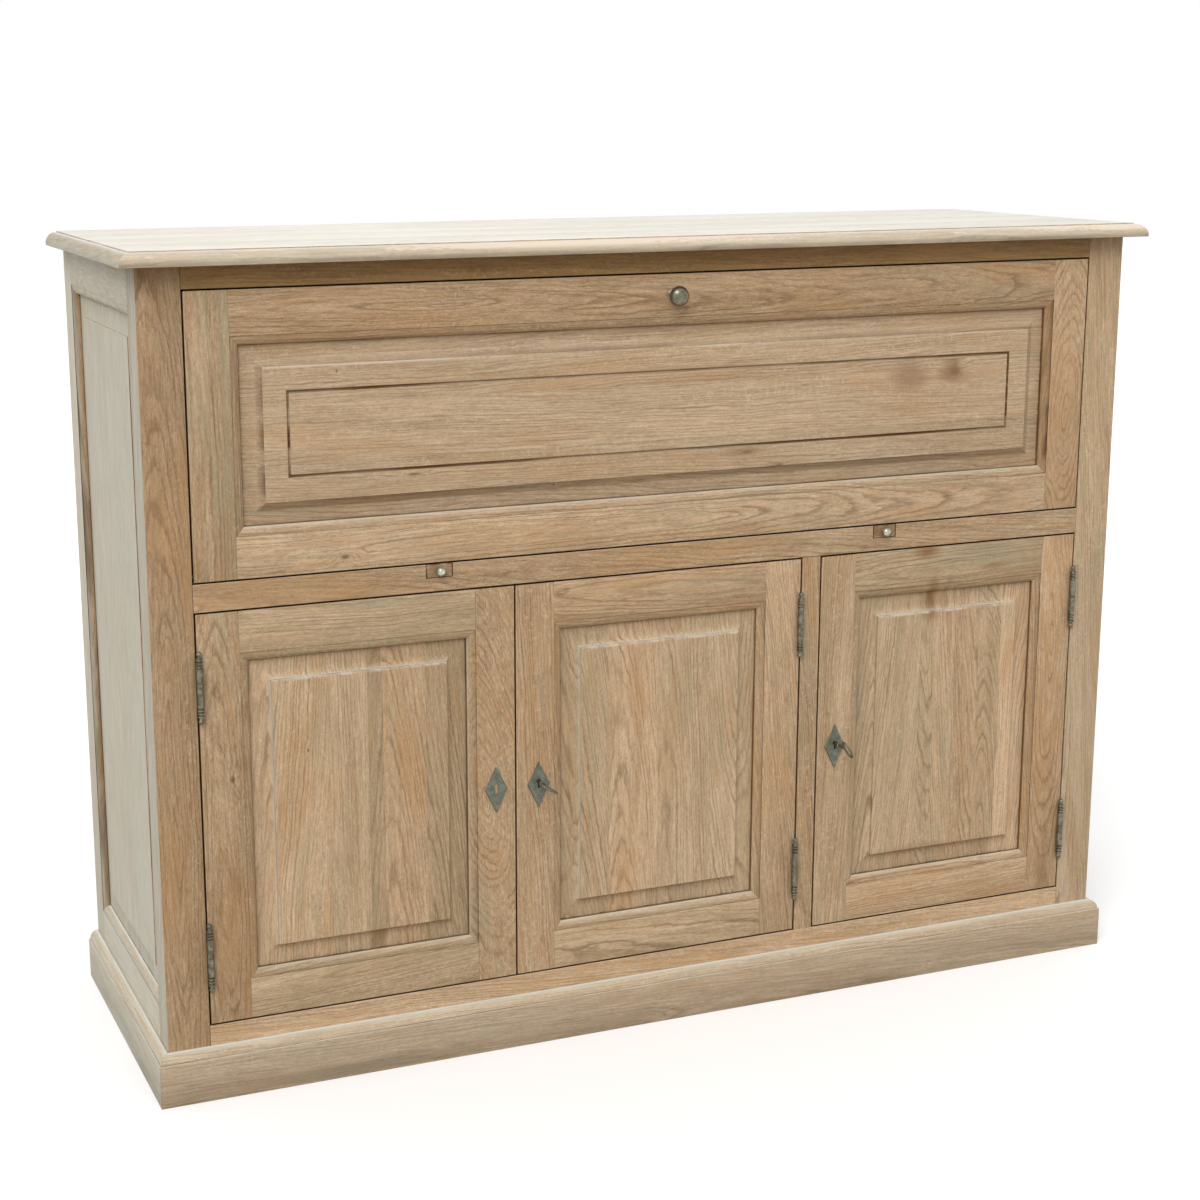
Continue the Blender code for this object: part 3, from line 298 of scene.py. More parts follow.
def makePiece(name, shells, material, body, nodes=(), shadeGaps=True, sharp=32):
    # joins shells into one mesh, with the wood's coordinates and the dirt with painted shade and highlight as
    # attributes of its points, and the lime with painted sheen and gap shade as an attribute of its faces
    points = np.concatenate([shell["points"] for shell in shells])
    starts = np.cumsum([0] + [len(shell["points"]) for shell in shells])
    corners = []
    sizes = []
    for shell, start in zip(shells, starts):
        for polygons in shell["faces"]:
            corners.append((polygons + start).ravel())
            sizes.append(np.full(len(polygons), polygons.shape[1]))
    corners = np.concatenate(corners)
    sizes = np.concatenate(sizes)
    mesh = bpy.data.meshes.new(name)
    mesh.vertices.add(len(points))
    mesh.vertices.foreach_set("co", points.astype(np.float32).ravel())
    mesh.loops.add(len(corners))
    mesh.loops.foreach_set("vertex_index", corners.astype(np.int32))
    mesh.polygons.add(len(sizes))
    mesh.polygons.foreach_set("loop_start", (np.cumsum(sizes) - sizes).astype(np.int32))
    mesh.update(calc_edges=True)
    mesh.validate()
    if "grain" in shells[0]:
        for key, kind, field in (("grain", "FLOAT_VECTOR", "vector"), ("tone", "FLOAT", "value"),
                                 ("grimeAndShade", "FLOAT", "value")):
            values = np.concatenate([shell[key] for shell in shells]).astype(np.float32)
            mesh.attributes.new(key, kind, "POINT").data.foreach_set(field, values.ravel())
        limeSheenShade = limeSheenShadeOf(mesh, shells, shadeGaps)
        mesh.attributes.new("limeSheenShade", "FLOAT", "FACE").data.foreach_set("value", limeSheenShade)
    mesh.shade_smooth()
    mesh.set_sharp_from_angle(angle=math.radians(sharp))
    mesh.materials.append(material)
    piece = bpy.data.objects.new(name, mesh)
    bpy.context.scene.collection.objects.link(piece)
    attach(piece, body)
    if nodes:
        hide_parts(*nodes)


# Node helpers

def newMaterial(name):
    material = bpy.data.materials.new(name)
    material.use_nodes = True
    return material, material.node_tree, material.node_tree.nodes["Principled BSDF"]


def put(tree, kind, inputs=(), **settings):
    node = tree.nodes.new(kind)
    for key, value in settings.items():
        setattr(node, key, value)
    for socket, value in inputs:
        if isinstance(value, bpy.types.NodeSocket):
            tree.links.new(value, node.inputs[socket])
        else:
            node.inputs[socket].default_value = value
    return node


def calc(tree, operation, a, b=0.0, clamp=False):
    return put(tree, "ShaderNodeMath", [(0, a), (1, b)], operation=operation, use_clamp=clamp).outputs[0]


def plus(tree, a, b, clamp=False):
    return calc(tree, "ADD", a, b, clamp)


def times(tree, a, b, clamp=False):
    return calc(tree, "MULTIPLY", a, b, clamp)


def vectorCalc(tree, operation, a, b, output="Vector"):
    return put(tree, "ShaderNodeVectorMath", [(0, a), (1, b)], operation=operation).outputs[output]


def stretch(tree, vector, scale):
    return vectorCalc(tree, "MULTIPLY", vector, scale)


def lengthOf(tree, vector):
    return put(tree, "ShaderNodeVectorMath", [(0, vector)], operation="LENGTH").outputs["Value"]


def noise(tree, vector, detail=2.0, roughness=0.5, distortion=0.0):
    node = put(tree, "ShaderNodeTexNoise", [("Vector", vector), ("Scale", 1.0), ("Detail", detail),
                                            ("Roughness", roughness), ("Distortion", distortion)])
    return node.outputs["Fac"], node.outputs["Color"]


def channels(tree, vector):
    return put(tree, "ShaderNodeSeparateXYZ", [(0, vector)]).outputs


def remap(tree, value, low, high, toLow=0.0, toHigh=1.0):
    # from low..high to toLow..toHigh in a soft S, held at both ends
    node = put(tree, "ShaderNodeMapRange", [("Value", value), ("From Min", low), ("From Max", high),
                                            ("To Min", toLow), ("To Max", toHigh)],
               interpolation_type="SMOOTHSTEP")
    return node.outputs["Result"]


def blendColour(tree, amount, a, b):
    return put(tree, "ShaderNodeMix", [(0, amount), (6, a), (7, b)], data_type="RGBA").outputs[2]


def ramp(tree, value, stops):
    node = put(tree, "ShaderNodeValToRGB", [("Fac", value)])
    elements = node.color_ramp.elements
    while len(elements) < len(stops):
        elements.new(0.5)
    for element, (place, level) in zip(elements, stops):
        element.position = place
        element.color = (level, level, level, 1)
    return node.outputs["Color"]


def rgb(red, green, blue):
    # screen colour 0-255 to the linear values that a shader takes
    c = np.array([red, green, blue]) / 255
    linear = np.where(c <= 0.04045, c / 12.92, ((c + 0.055) / 1.055) ** 2.4)
    return (*linear.tolist(), 1)


# Finishes

# Waves per metre of each pattern in the wood: twice across the log, and along it
grainScales = {
    "bend": (11.0, 11.0, 3.2), "ripple": (48.0, 48.0, 15.0), "fine": (240.0, 240.0, 55.0),
    "broad": (42.0, 42.0, 3.4), "short": (560.0, 560.0, 92.0), "middling": (290.0, 290.0, 17.0),
    "speck": (850.0, 850.0, 480.0), "pore": (2100.0, 2100.0, 190.0), "patch": (15.0, 15.0, 3.0),
    "streak": (130.0, 130.0, 5.0), "board": (9.0, 9.0, 0.2),
}
# Rays on a cut that faces the pith: waves per turn, per metre outwards and per metre along
rayScales = (60.0, 105.0, 190.0)
# How dark one year's ring is, from its start (0) to the next (1)
ringShape = ((0.0, 0.7), (0.09, 1.0), (0.24, 0.4), (0.42, 0.0), (0.92, 0.0), (1.0, 0.7))


def limedOak(name, look, knots=(), smudges=()):
    # solid oak: rings round the log's axis, pores and rays along it, lime and grey stain over them, then
    # painted sheen, shade and highlight from the attributes
    material, tree, shader = newMaterial(name)

    def pattern(key, vector, detail=1.0, roughness=0.5):
        # value and colour of the noise that makes one pattern
        return noise(tree, stretch(tree, vector, grainScales[key]), detail, roughness)

    def shifted(vector, key, reach):
        # vector + reach * (noise colour - 0.5), across the log only
        wave = vectorCalc(tree, "SUBTRACT", pattern(key, vector)[1], (0.5, 0.5, 0.5))
        return vectorCalc(tree, "ADD", stretch(tree, wave, (reach, reach, 0.0)), vector)

    def share(value, amount):
        # amount * (value - 0.5)
        return times(tree, calc(tree, "SUBTRACT", value, 0.5), amount)

    def farFrom(x, z, wide, high):
        # distance from a spot on the front, 1 on its oval edge
        off = vectorCalc(tree, "SUBTRACT", place, (x, 0.0, z))
        return lengthOf(tree, stretch(tree, off, (1 / wide, 0.0, 1 / high)))

    if "grainTurn" in look:
        # a board that keeps its CAD shape has no attributes, so its log lies along one of the part's axes
        place = put(tree, "ShaderNodeTexCoord").outputs["Object"]
        log = put(tree, "ShaderNodeMapping", [("Vector", place), ("Location", (0.03, 0.07, 4.0)),
                                              ("Rotation", look["grainTurn"])]).outputs[0]
        tone = calc(tree, "SUBTRACT", pattern("board", log, 0.0)[0], 0.5)
        grimeAndShade = None
    else:
        log = put(tree, "ShaderNodeAttribute", attribute_name="grain").outputs["Vector"]
        tone = put(tree, "ShaderNodeAttribute", attribute_name="tone").outputs["Fac"]
        grimeAndShade = put(tree, "ShaderNodeAttribute", attribute_name="grimeAndShade").outputs["Fac"]

    # the rings, bent by two noises and pushed aside by the knots
    bent = shifted(shifted(log, "bend", look["wobble"]), "ripple", look["wobble"] * 0.2)
    radius = lengthOf(tree, stretch(tree, bent, (1.0, 1.0, 0.0)))
    uneven = put(tree, "ShaderNodeTexNoise", [("W", radius), ("Scale", 75.0), ("Detail", 1.0)],
                 noise_dimensions="1D").outputs["Fac"]
    phase = plus(tree, calc(tree, "DIVIDE", radius, look["ringGap"]),
                 plus(tree, times(tree, uneven, 2.2), times(tree, pattern("fine", log)[0], 0.55)))
    knotDark = None
    if knots or smudges:
        place = put(tree, "ShaderNodeTexCoord").outputs["Object"]
    for *spot, push in knots:
        far = farFrom(*spot)
        phase = plus(tree, phase, remap(tree, far, 0.0, 4.0, push, 0.0))
        dark = remap(tree, far, 0.25, 1.0, 1.0, 0.0)
        knotDark = dark if knotDark is None else calc(tree, "MAXIMUM", knotDark, dark)
    line = ramp(tree, calc(tree, "FRACT", phase), ringShape)
    ringSeed = put(tree, "ShaderNodeTexWhiteNoise", [("W", calc(tree, "FLOOR", phase))],
                   noise_dimensions="1D").outputs["Value"]
    broad, broadColour = pattern("broad", bent, 2.0, 0.55)
    zones = channels(tree, broadColour)
    strength = times(tree, remap(tree, zones[1], 0.3, 0.62, 0.25, 1.0),
                     remap(tree, ringSeed, 0.0, 1.0, 0.4, 1.0))
    rings = times(tree, line, strength)

    # short and long grain, pores, patches, streaks and rays
    short = pattern("short", log)[0]
    middling = pattern("middling", bent)[0]
    speck = pattern("speck", log, 0.0)[0]
    pore = remap(tree, pattern("pore", log, 0.0)[0], 0.56, 0.7)
    patch = channels(tree, pattern("patch", bent, 2.0, 0.6)[1])
    streaks = channels(tree, pattern("streak", bent)[1])
    x, y, along = channels(tree, bent)
    angle = calc(tree, "ARCTAN2", y, x)
    spun = [times(tree, value, scale) for value, scale in zip((angle, radius, along), rayScales)]
    polar = put(tree, "ShaderNodeCombineXYZ", enumerate(spun)).outputs[0]
    fleck = times(tree, remap(tree, noise(tree, polar, 0.0, 0.5, 0.6)[0], 0.62, 0.71),
                  remap(tree, zones[2], 0.44, 0.6))

    level = plus(tree, plus(tree, share(short, look["shortGrain"]), share(middling, look["longGrain"])),
                 plus(tree, share(broad, look["broadGrain"]), share(speck, look["speckle"])))
    level = plus(tree, plus(tree, level, 0.5), times(tree, tone, look["toneSpread"]), clamp=True)
    colour = blendColour(tree, level, look["dark"], look["light"])

    # warm and grey places; some boards are warmer and others greyer as a whole
    boardShade = calc(tree, "SINE", times(tree, tone, 17.0))
    warm = plus(tree, times(tree, remap(tree, patch[0], 0.46, 0.68), look["warmAmount"]),
                plus(tree, times(tree, boardShade, look["boardWarm"]),
                     times(tree, remap(tree, streaks[0], 0.5, 0.66), look["warmStreaks"])), clamp=True)
    grey = times(tree, remap(tree, patch[1], 0.5, 0.7), remap(tree, zones[0], 0.38, 0.62))
    greyStreaks = times(tree, remap(tree, streaks[1], 0.5, 0.66), look["greyStreaks"])
    grey = plus(tree, times(tree, grey, look["stainAmount"]),
                calc(tree, "SUBTRACT", greyStreaks, times(tree, boardShade, look["boardGrey"])), clamp=True)
    colour = blendColour(tree, warm, colour, look["warm"])
    colour = blendColour(tree, grey, colour, look["stain"])
    for part, amount in (("ring", rings), ("pore", pore), ("fleck", fleck)):
        colour = blendColour(tree, times(tree, amount, look[part + "Amount"]), colour, look[part])

    if knotDark is not None:
        colour = blendColour(tree, times(tree, knotDark, look["knotAmount"]), colour, look["knot"])
    for *spot, depth in smudges:
        soft = plus(tree, farFrom(*spot), share(zones[1], 1.6))
        colour = blendColour(tree, remap(tree, soft, 0.1, 1.2, depth, 0.0), colour, look["smudge"])

    # on faces, lime with painted sheen above 0 and painted gap shade below 0; on points, dirt with painted
    # shade above 0 and rubbed wood with painted highlight below 0
    if grimeAndShade is not None:
        limeSheenShade = put(tree, "ShaderNodeAttribute", attribute_name="limeSheenShade").outputs["Fac"]
        limeSheen = blendColour(tree, remap(tree, limeSheenShade, 0.78, 0.95), look["limeSheenSide"], look["limeSheenTop"])
        uneven = plus(tree, remap(tree, patch[2], 0.3, 0.7, 0.78, 0.94), share(middling, 0.5))
        colour = blendColour(tree, times(tree, limeSheenShade, uneven, clamp=True), colour, limeSheen)
        colour = blendColour(tree, times(tree, limeSheenShade, -1.0, clamp=True), colour, look["grimeAndShade"])
        mottle = remap(tree, plus(tree, zones[0], share(short, 0.5)), 0.4, 0.58, 1.3, 0.02)
        wornAndHighlight = times(tree, times(tree, grimeAndShade, -0.8, clamp=True), mottle)
        colour = blendColour(tree, wornAndHighlight, colour, look["wornAndHighlight"])
        spread = times(tree, grimeAndShade, remap(tree, broad, 0.36, 0.64, 0.4, 1.05), clamp=True)
        colour = blendColour(tree, spread, colour, look["grimeAndShade"])
    tree.links.new(colour, shader.inputs["Base Color"])

    rough = remap(tree, middling, 0.2, 0.8, look["rough"] + 0.08, look["rough"] - 0.06)
    tree.links.new(plus(tree, rough, times(tree, pore, 0.12)), shader.inputs["Roughness"])
    height = calc(tree, "SUBTRACT", times(tree, short, 0.8), plus(tree, times(tree, rings, 0.5), pore))
    bump = put(tree, "ShaderNodeBump", [("Strength", 0.3), ("Distance", 0.0002), ("Height", height)])
    tree.links.new(bump.outputs[0], shader.inputs["Normal"])
    shader.inputs["Specular IOR Level"].default_value = look["gloss"]
    return material


def agedMetal(name, dark, light, speck, rough, metallic):
    # dull metal with dark blotches, small specks and lighter rubbed places
    material, tree, shader = newMaterial(name)
    place = put(tree, "ShaderNodeTexCoord").outputs["Object"]
    blotch = remap(tree, noise(tree, stretch(tree, place, (160.0,) * 3), 4.0, 0.6)[0], 0.35, 0.7)
    spots = remap(tree, noise(tree, stretch(tree, place, (900.0,) * 3))[0], 0.55, 0.75)
    colour = blendColour(tree, blotch, rgb(*dark), rgb(*light))
    colour = blendColour(tree, times(tree, spots, 0.5), colour, rgb(*speck))
    tree.links.new(colour, shader.inputs["Base Color"])
    tree.links.new(remap(tree, blotch, 0.0, 1.0, rough + 0.12, rough - 0.08), shader.inputs["Roughness"])
    bump = put(tree, "ShaderNodeBump", [("Strength", 0.4), ("Distance", 0.0002), ("Height", blotch)])
    tree.links.new(bump.outputs[0], shader.inputs["Normal"])
    shader.inputs["Metallic"].default_value = metallic
    return material


# Knots on the front, as (x, height, half width, half height, how many rings they push aside)
frontKnots = (
    (-0.483, 0.740, 0.0085, 0.0045, 2.6),
    (-0.384, 0.845, 0.0120, 0.0026, 1.2),
    (-0.541, 0.477, 0.0022, 0.0040, 0.8),
    (0.462, 0.941, 0.0125, 0.0075, 1.6),
    (-0.488, 0.989, 0.0024, 0.0040, 0.9),
    (-0.464, 0.963, 0.0040, 0.0018, 0.6),
    (-0.179, 0.816, 0.0032, 0.0030, 0.9),
    (0.119, 0.843, 0.0120, 0.0034, 1.0),
    (0.172, 0.821, 0.0080, 0.0030, 0.8),
    (-0.647, 0.449, 0.0050, 0.0070, 1.4),
)
# Dark smudges on the front, as (x, height, half width, half height, strength)
frontSmudges = (
    (0.458, 0.946, 0.026, 0.024, 0.72),
    (0.500, 0.860, 0.220, 0.120, 0.13),
    (0.465, 0.590, 0.012, 0.048, 0.4),
    (0.545, 0.640, 0.030, 0.010, 0.35),
    (0.420, 0.205, 0.090, 0.009, 0.3),
    (0.386, 0.938, 0.034, 0.030, 0.5),
    (0.115, 0.844, 0.040, 0.007, 0.6),
    (0.165, 0.822, 0.024, 0.007, 0.5),
    (-0.645, 0.300, 0.014, 0.030, 0.3),
    (0.426, 0.672, 0.030, 0.017, 0.8),
    (0.440, 0.601, 0.016, 0.046, 0.85),
    (0.463, 0.951, 0.011, 0.013, 0.6),
    (0.662, 0.150, 0.012, 0.060, 0.4),
    (-0.446, 0.190, 0.012, 0.018, 0.4),
    (-0.630, 0.470, 0.012, 0.022, 0.35),
)

oakLook = {
    "dark": rgb(132, 104, 70), "light": rgb(221, 193, 160), "ring": rgb(108, 82, 52),
    "pore": rgb(104, 84, 60), "warm": rgb(182, 140, 94), "stain": rgb(150, 142, 114),
    "fleck": rgb(226, 206, 176), "knot": rgb(96, 62, 32), "smudge": rgb(120, 80, 36),
    # the first colour below serves dirt and painted shade, the second wear and painted highlight
    "grimeAndShade": rgb(84, 54, 14), "wornAndHighlight": rgb(214, 199, 180),
    # liming for faces that look out to a side and for faces that look up; the paler top one is painted light
    # too
    "limeSheenSide": rgb(190, 193, 181), "limeSheenTop": rgb(222, 219, 209),
    "shortGrain": 0.64, "longGrain": 0.68, "broadGrain": 0.55, "speckle": 0.36,
    "ringAmount": 0.68, "poreAmount": 0.25, "fleckAmount": 0.2, "knotAmount": 0.75,
    "stainAmount": 0.45, "warmAmount": 0.36, "boardWarm": 0.09, "boardGrey": 0.18,
    "warmStreaks": 0.2, "greyStreaks": 0.2, "toneSpread": 0.19, "wobble": 0.022,
    "ringGap": 0.0043, "rough": 0.6, "gloss": 0.35,
}
insideLook = dict(oakLook, dark=rgb(122, 96, 68), light=rgb(196, 168, 134),
                  warmStreaks=0.15, greyStreaks=0.12, stainAmount=0.3)
# a darker, warmer copy of the oak for the top rail: painted shadow under the top's overhang
shadedLook = dict(oakLook, dark=rgb(106, 74, 36), light=rgb(180, 140, 88),
                  stain=rgb(116, 98, 60), fleckAmount=0.1)
quarterTurn = math.pi / 2

oakInside = limedOak("oak_inside", insideLook)
oakFront = limedOak("limed_oak_front", oakLook, frontKnots, frontSmudges)
oakShaded = limedOak("limed_oak_shaded", shadedLook)
oakPlain = limedOak("limed_oak", dict(oakLook, grimeAndShade=rgb(84, 66, 38)))
oakInsideLong = limedOak("oak_inside_long", dict(insideLook, grainTurn=(0.0, quarterTurn, 0.0)))
oakInsideTall = limedOak("oak_inside_tall", dict(insideLook, grainTurn=(0.0, 0.0, 0.0)))
oakInsideDeep = limedOak("oak_inside_deep", dict(insideLook, grainTurn=(quarterTurn, 0.0, 0.0)))

# Metals, as screen colours of their dark places, light places and specks, roughness, how metallic
metalLooks = {
    "aged_steel": ((96, 101, 88), (118, 122, 106), (88, 86, 72), 0.5, 0.6),
    "worn_brass": ((92, 88, 72), (134, 130, 112), (76, 70, 54), 0.4, 0.7),
    "pewter": ((150, 148, 134), (212, 210, 196), (112, 106, 92), 0.28, 0.85),
    "dark_pewter": ((104, 98, 84), (140, 134, 118), (84, 76, 62), 0.27, 0.92),
    # not a metal: the dark sheet that paints the keyhole's shadow
    "keyhole_shadow": ((34, 30, 24), (48, 44, 36), (30, 26, 20), 0.7, 0.2),
}
agedSteel, wornBrass, pewter, darkPewter, keyholeShadow = (
    agedMetal(name, *look) for name, look in metalLooks.items())
print("finishes made")


# Panelled frames

moulding = {"width": 0.0125, "quirk": 0.0009, "depth": 0.0095, "steps": 12, "fillet": 0.001, "start": 0.0002,
            "tongueFront": 0.0098, "tongueBack": 0.0158, "tongueReach": 0.007, "frameEase": 0.0006,
            "railGap": 0.00008}


def mouldingProfile():
    # from the flat face inwards: a quirk, a quarter ellipse and a small fillet down to the panel
    width, quirk, depth = moulding["width"], moulding["quirk"], moulding["depth"]
    start, fillet = moulding["start"], moulding["fillet"]
    t = np.radians(np.linspace(90, 180, moulding["steps"]))
    spread = width - quirk + (width - quirk) * np.cos(t)
    sink = depth - fillet - (depth - fillet - quirk) * np.sin(t)
    spread = np.concatenate([[width + fillet, width, width], spread, [0.0, width + fillet]])
    sink = np.concatenate([[start, start, quirk], sink, [depth, depth]])
    # darker in the quirk and at the fillet's foot, fading over the ellipse
    grimeAndShade = np.concatenate([[0.0, 0.2, 0.45], np.linspace(0.55, 0.0, moulding["steps"]) ** 2, [0.75, 0.75]])
    return spread, sink, grimeAndShade


def windowStrip(place, window, side, spread, sink):
    # a closed profile carried along one side of the window, its ends on the corners' mitres
    left, right, bottom, top = window
    if side in ("left", "right"):
        across = left - spread if side == "left" else right + spread
        ends = (across, bottom - spread + hair), (across, top + spread - hair)
    else:
        up = bottom - spread if side == "bottom" else top + spread
        ends = (left - spread + hair, up), (right + spread - hair, up)
    return tube(np.array([place(a, b, sink) for a, b in ends]))


def boardAxes(face, upright):
    # the part's axes across, through and along a board of a face
    if face == "front":
        return (0, 1, 2) if upright else (2, 1, 0)
    return (1, 0, 2) if upright else (2, 0, 1)


def panelledFrame(name, face, node, members, look, cuts, recesses=None):
    # stiles run full height, rails fit between them, and each carries its own length of moulding;
    # members are the widths of the left, right, bottom and top board
    place = faces[face]
    low, high = limits(node)
    run = 0 if face == "front" else 1
    left, right, bottom, top = low[run], high[run], low[2], high[2]
    wideLeft, wideRight, wideBottom, wideTop = members
    width = moulding["width"]
    window = (left + wideLeft + width, right - wideRight - width, bottom + wideBottom + width,
              top - wideTop - width)
    innerLeft, innerRight = left + wideLeft + moulding["railGap"], right - wideRight - moulding["railGap"]
    boards = {
        "left": (left, left + wideLeft, bottom, top),
        "right": (right - wideRight, right, bottom, top),
        "bottom": (innerLeft, innerRight, bottom, bottom + wideBottom),
        "top": (innerLeft, innerRight, top - wideTop, top),
    }
    spread, sink, grimeAndShade = mouldingProfile()
    behind = moulding["tongueBack"] + 0.0003
    rearSpread = np.array([0.0, width + 0.002, width + 0.002, 0.0])
    rearSink = np.array([behind, behind, look["thick"] + 0.00002, look["thick"] + 0.00002])
    shells = []
    for (side, (a0, a1, b0, b1)), dirtAndShade in zip(boards.items(), look["dirtAndShade"]):
        upright = side in ("left", "right")
        axes = boardAxes(face, upright)
        corners = place(np.array([a0, a1]), np.array([b0, b1]), np.array([0.0, look["thick"]]))
        if recesses and side in recesses:
            board = edgeBoard(*corners, side, recesses[side])
        else:
            board = easedBoard(*corners, axes[2], moulding["frameEase"])
        strip = windowStrip(place, window, side, spread, sink)
        # a value over 1 darkens the whole strip as well: painted shade on a moulding in shadow
        strip["grimeAndShade"] = np.tile(grimeAndShade, 2) * min(dirtAndShade, 1) + max(dirtAndShade - 1, 0)
        rear = windowStrip(place, window, side, rearSpread, rearSink)
        cut = {"darker": 0.75 if upright else 0, **cuts.get(side, {}), "origin": corners.mean(axis=0)}
        shells += [addWood(shell, name + side, axes, cut) for shell in (board, strip, rear)]
    return shells, window


def insetOf(points, face, window):
    # distance in from the window's nearest edge
    a = points[:, 0] if face == "front" else points[:, 1]
    b = points[:, 2]
    return np.minimum(np.minimum(a - window[0], window[1] - a), np.minimum(b - window[2], window[3] - b))


# Dirt, wear, painted shade and painted highlight on a raised panel; reaches are distances in from the frame
# or the field's step
dirtAndLightLook = {"edge": 0.75, "edgeReach": 0.0016, "margin": 0.2, "marginReach": 0.016, "cove": 0.07,
            "coveEnd": 0.002, "below": 0.16, "belowStart": 0.012, "foot": 0.55, "footReach": 0.0009,
            "offLight": 0.4,
            "wearAndPaintedLightAt": (0.00006, 0.0009, 0.0026, 0.004), "wearAndPaintedLight": (-0.9, -0.8, -0.3, 0.0)}


def grimeAndLightOf(points, face, window, edge, stepShade):
    # darker beside the frame, dirt with the painted shade of the moulding; a painted shade line at the foot
    # of the step; stain with painted shade on the bottom cove; and a rubbed ridge above the field, painted as
    # a highlight
    look = dirtAndLightLook
    inset = insetOf(points, face, window)
    above = window[3] - points[:, 2] <= inset + touch
    level = above | (points[:, 2] - window[2] <= inset + touch)
    offLight = (face == "front") & (window[1] - points[:, 0] <= inset + touch)
    grimeAndShade = (look["edge"] * np.clip(1 - inset / look["edgeReach"], 0, 1)
             + look["margin"] * np.clip(1 - inset / look["marginReach"], 0, 1)
             + look["cove"] * (inset < edge - look["coveEnd"]))
    grimeAndShade = grimeAndShade + look["below"] * (level & ~above & (inset > look["belowStart"]) & (inset < edge))
    foot = (inset > edge - look["footReach"]) & (inset < edge + hair)
    upright = np.where(offLight, stepShade * look["offLight"], stepShade)
    grimeAndShade = np.where(foot, np.where(level, look["foot"], upright), grimeAndShade)
    wearAndPaintedLight = np.interp(inset - edge, look["wearAndPaintedLightAt"], look["wearAndPaintedLight"])
    return np.where((inset > edge + hair) & above, wearAndPaintedLight, grimeAndShade)


def carvedPanel(name, face, window, shares, stations, depthOf, edge, cuts, upright=True, lighter=0,
                stepShade=0.32):
    # boards side by side across the window, joined at the shares of its width; depth under the face is
    # depthOf(distance to the nearest edge), and stations are the insets where the grid has a line
    left, right, bottom, top = window
    low, high, start, end = (left, right, bottom, top) if upright else (bottom, top, left, right)
    tongue, back = moulding["tongueReach"], moulding["tongueBack"]
    lines = [low - tongue, *(low + np.array(shares) * (high - low)), high + tongue]
    along = np.concatenate([[start - tongue], start + stations, end - stations[::-1], [end + tongue]])
    inner = np.sort(np.concatenate([low + stations, high - stations]))
    axes = boardAxes(face, upright)
    rear = faces[face](np.zeros(1), np.zeros(1), np.array([back]))[0, axes[1]]
    shells = []
    for k in range(len(lines) - 1):
        first, last = lines[k] + hair, lines[k + 1] - hair
        across = np.concatenate([[first], inner[(inner > first + 1e-5) & (inner < last - 1e-5)], [last]])
        u, v = np.meshgrid(across, along, indexing="ij")
        depth = depthOf(np.minimum(np.minimum(u - low, high - u), np.minimum(v - start, end - v)))
        if upright:
            shell = gridSolid(across, along, depth, back, faces[face])
        else:
            shell = gridSolid(along, across, depth.T, back, faces[face])
        onBack = np.abs(shell["points"][:, axes[1]] - rear) < touch
        shell["grimeAndShade"] = np.where(onBack, 0, grimeAndLightOf(shell["points"], face, window, edge, stepShade))
        shells.append(addWood(shell, f"{name}{k}", axes, {"darker": -lighter, **cuts.get(k, {})}))
    return shells


# the rubbed ridge is painted as a highlight too
ridge = (0.0001, 0.0009, 0.0026, 0.004)        # insets from the step where the rubbed ridge changes


def covePanel(name, face, window, look, cuts, lighter=0, stepShade=0.32):
    # flat margin, then a quarter ellipse that starts level and ends steep, then a step up to the field
    margin, cove = look["margin"], look["cove"]
    field = margin + cove
    foot = look["fieldDepth"] + look["step"]

    def depthOf(inset):
        t = np.clip((inset - margin) / cove, 0, 1)
        curve = foot + (moulding["tongueFront"] - foot) * np.sqrt(np.clip(1 - t ** 2, 0, 1))
        return np.where(inset > field + hair, look["fieldDepth"], curve)

    quarter = np.sin(np.linspace(0, math.pi / 2, 12))
    stations = np.concatenate([[0.0, 0.0016, 0.008, margin - 0.0005], margin + cove * quarter,
                               field + np.array(ridge)])
    return carvedPanel(name, face, window, look["boards"], stations, depthOf, field, cuts,
                       lighter=lighter, stepShade=stepShade)


# Doors

doorLook = {"dirtAndShade": (1, 1.15, 1, 1), "member": 0.057, "thick": 0.022, "margin": 0.019, "cove": 0.011,
            "fieldDepth": 0.002, "step": 0.0009}
# Shares of the panel's width where its boards meet, and how the boards are cut and toned
doorLooks = {
    "left_door": {
        "boards": (0.35, 0.53, 0.60, 0.80),
        "left": {"turn": 10, "pith": (0.0, 0.02), "slope": 0.1},
        "right": {"turn": 20, "pith": (0.01, 0.02), "slope": 0.3},
        "panel": {0: {"turn": 62, "tone": 0.75},
                  1: {"turn": 40, "pith": (0.02, 0.06), "slope": 0.03, "tone": 0.35},
                  2: {"turn": 60, "tone": -0.82},
                  3: {"turn": 32, "pith": (0.0, 0.045), "slope": 0.1, "tone": 0.12},
                  4: {"turn": 75, "tone": -0.45}}},
    "middle_door": {
        "boards": (0.24, 0.49, 0.76), "lighter": 0.4,
        "right": {"tone": 0.78},
        "panel": {1: {"turn": 30, "pith": (0.0, 0.05), "slope": 0.08, "tone": 0.4},
                  2: {"turn": 45, "pith": (0.0, 0.05), "slope": 0.06, "tone": 0.2}}},
    "right_door": {
        "boards": (0.35, 0.435, 0.545, 0.69, 0.82), "lighter": 0.55,
        "panel": {0: {"turn": 60, "tone": 0.1},
                  2: {"tone": 0.2},
                  4: {"turn": 15, "pith": (0.0, 0.03), "slope": 0.15}}},
}


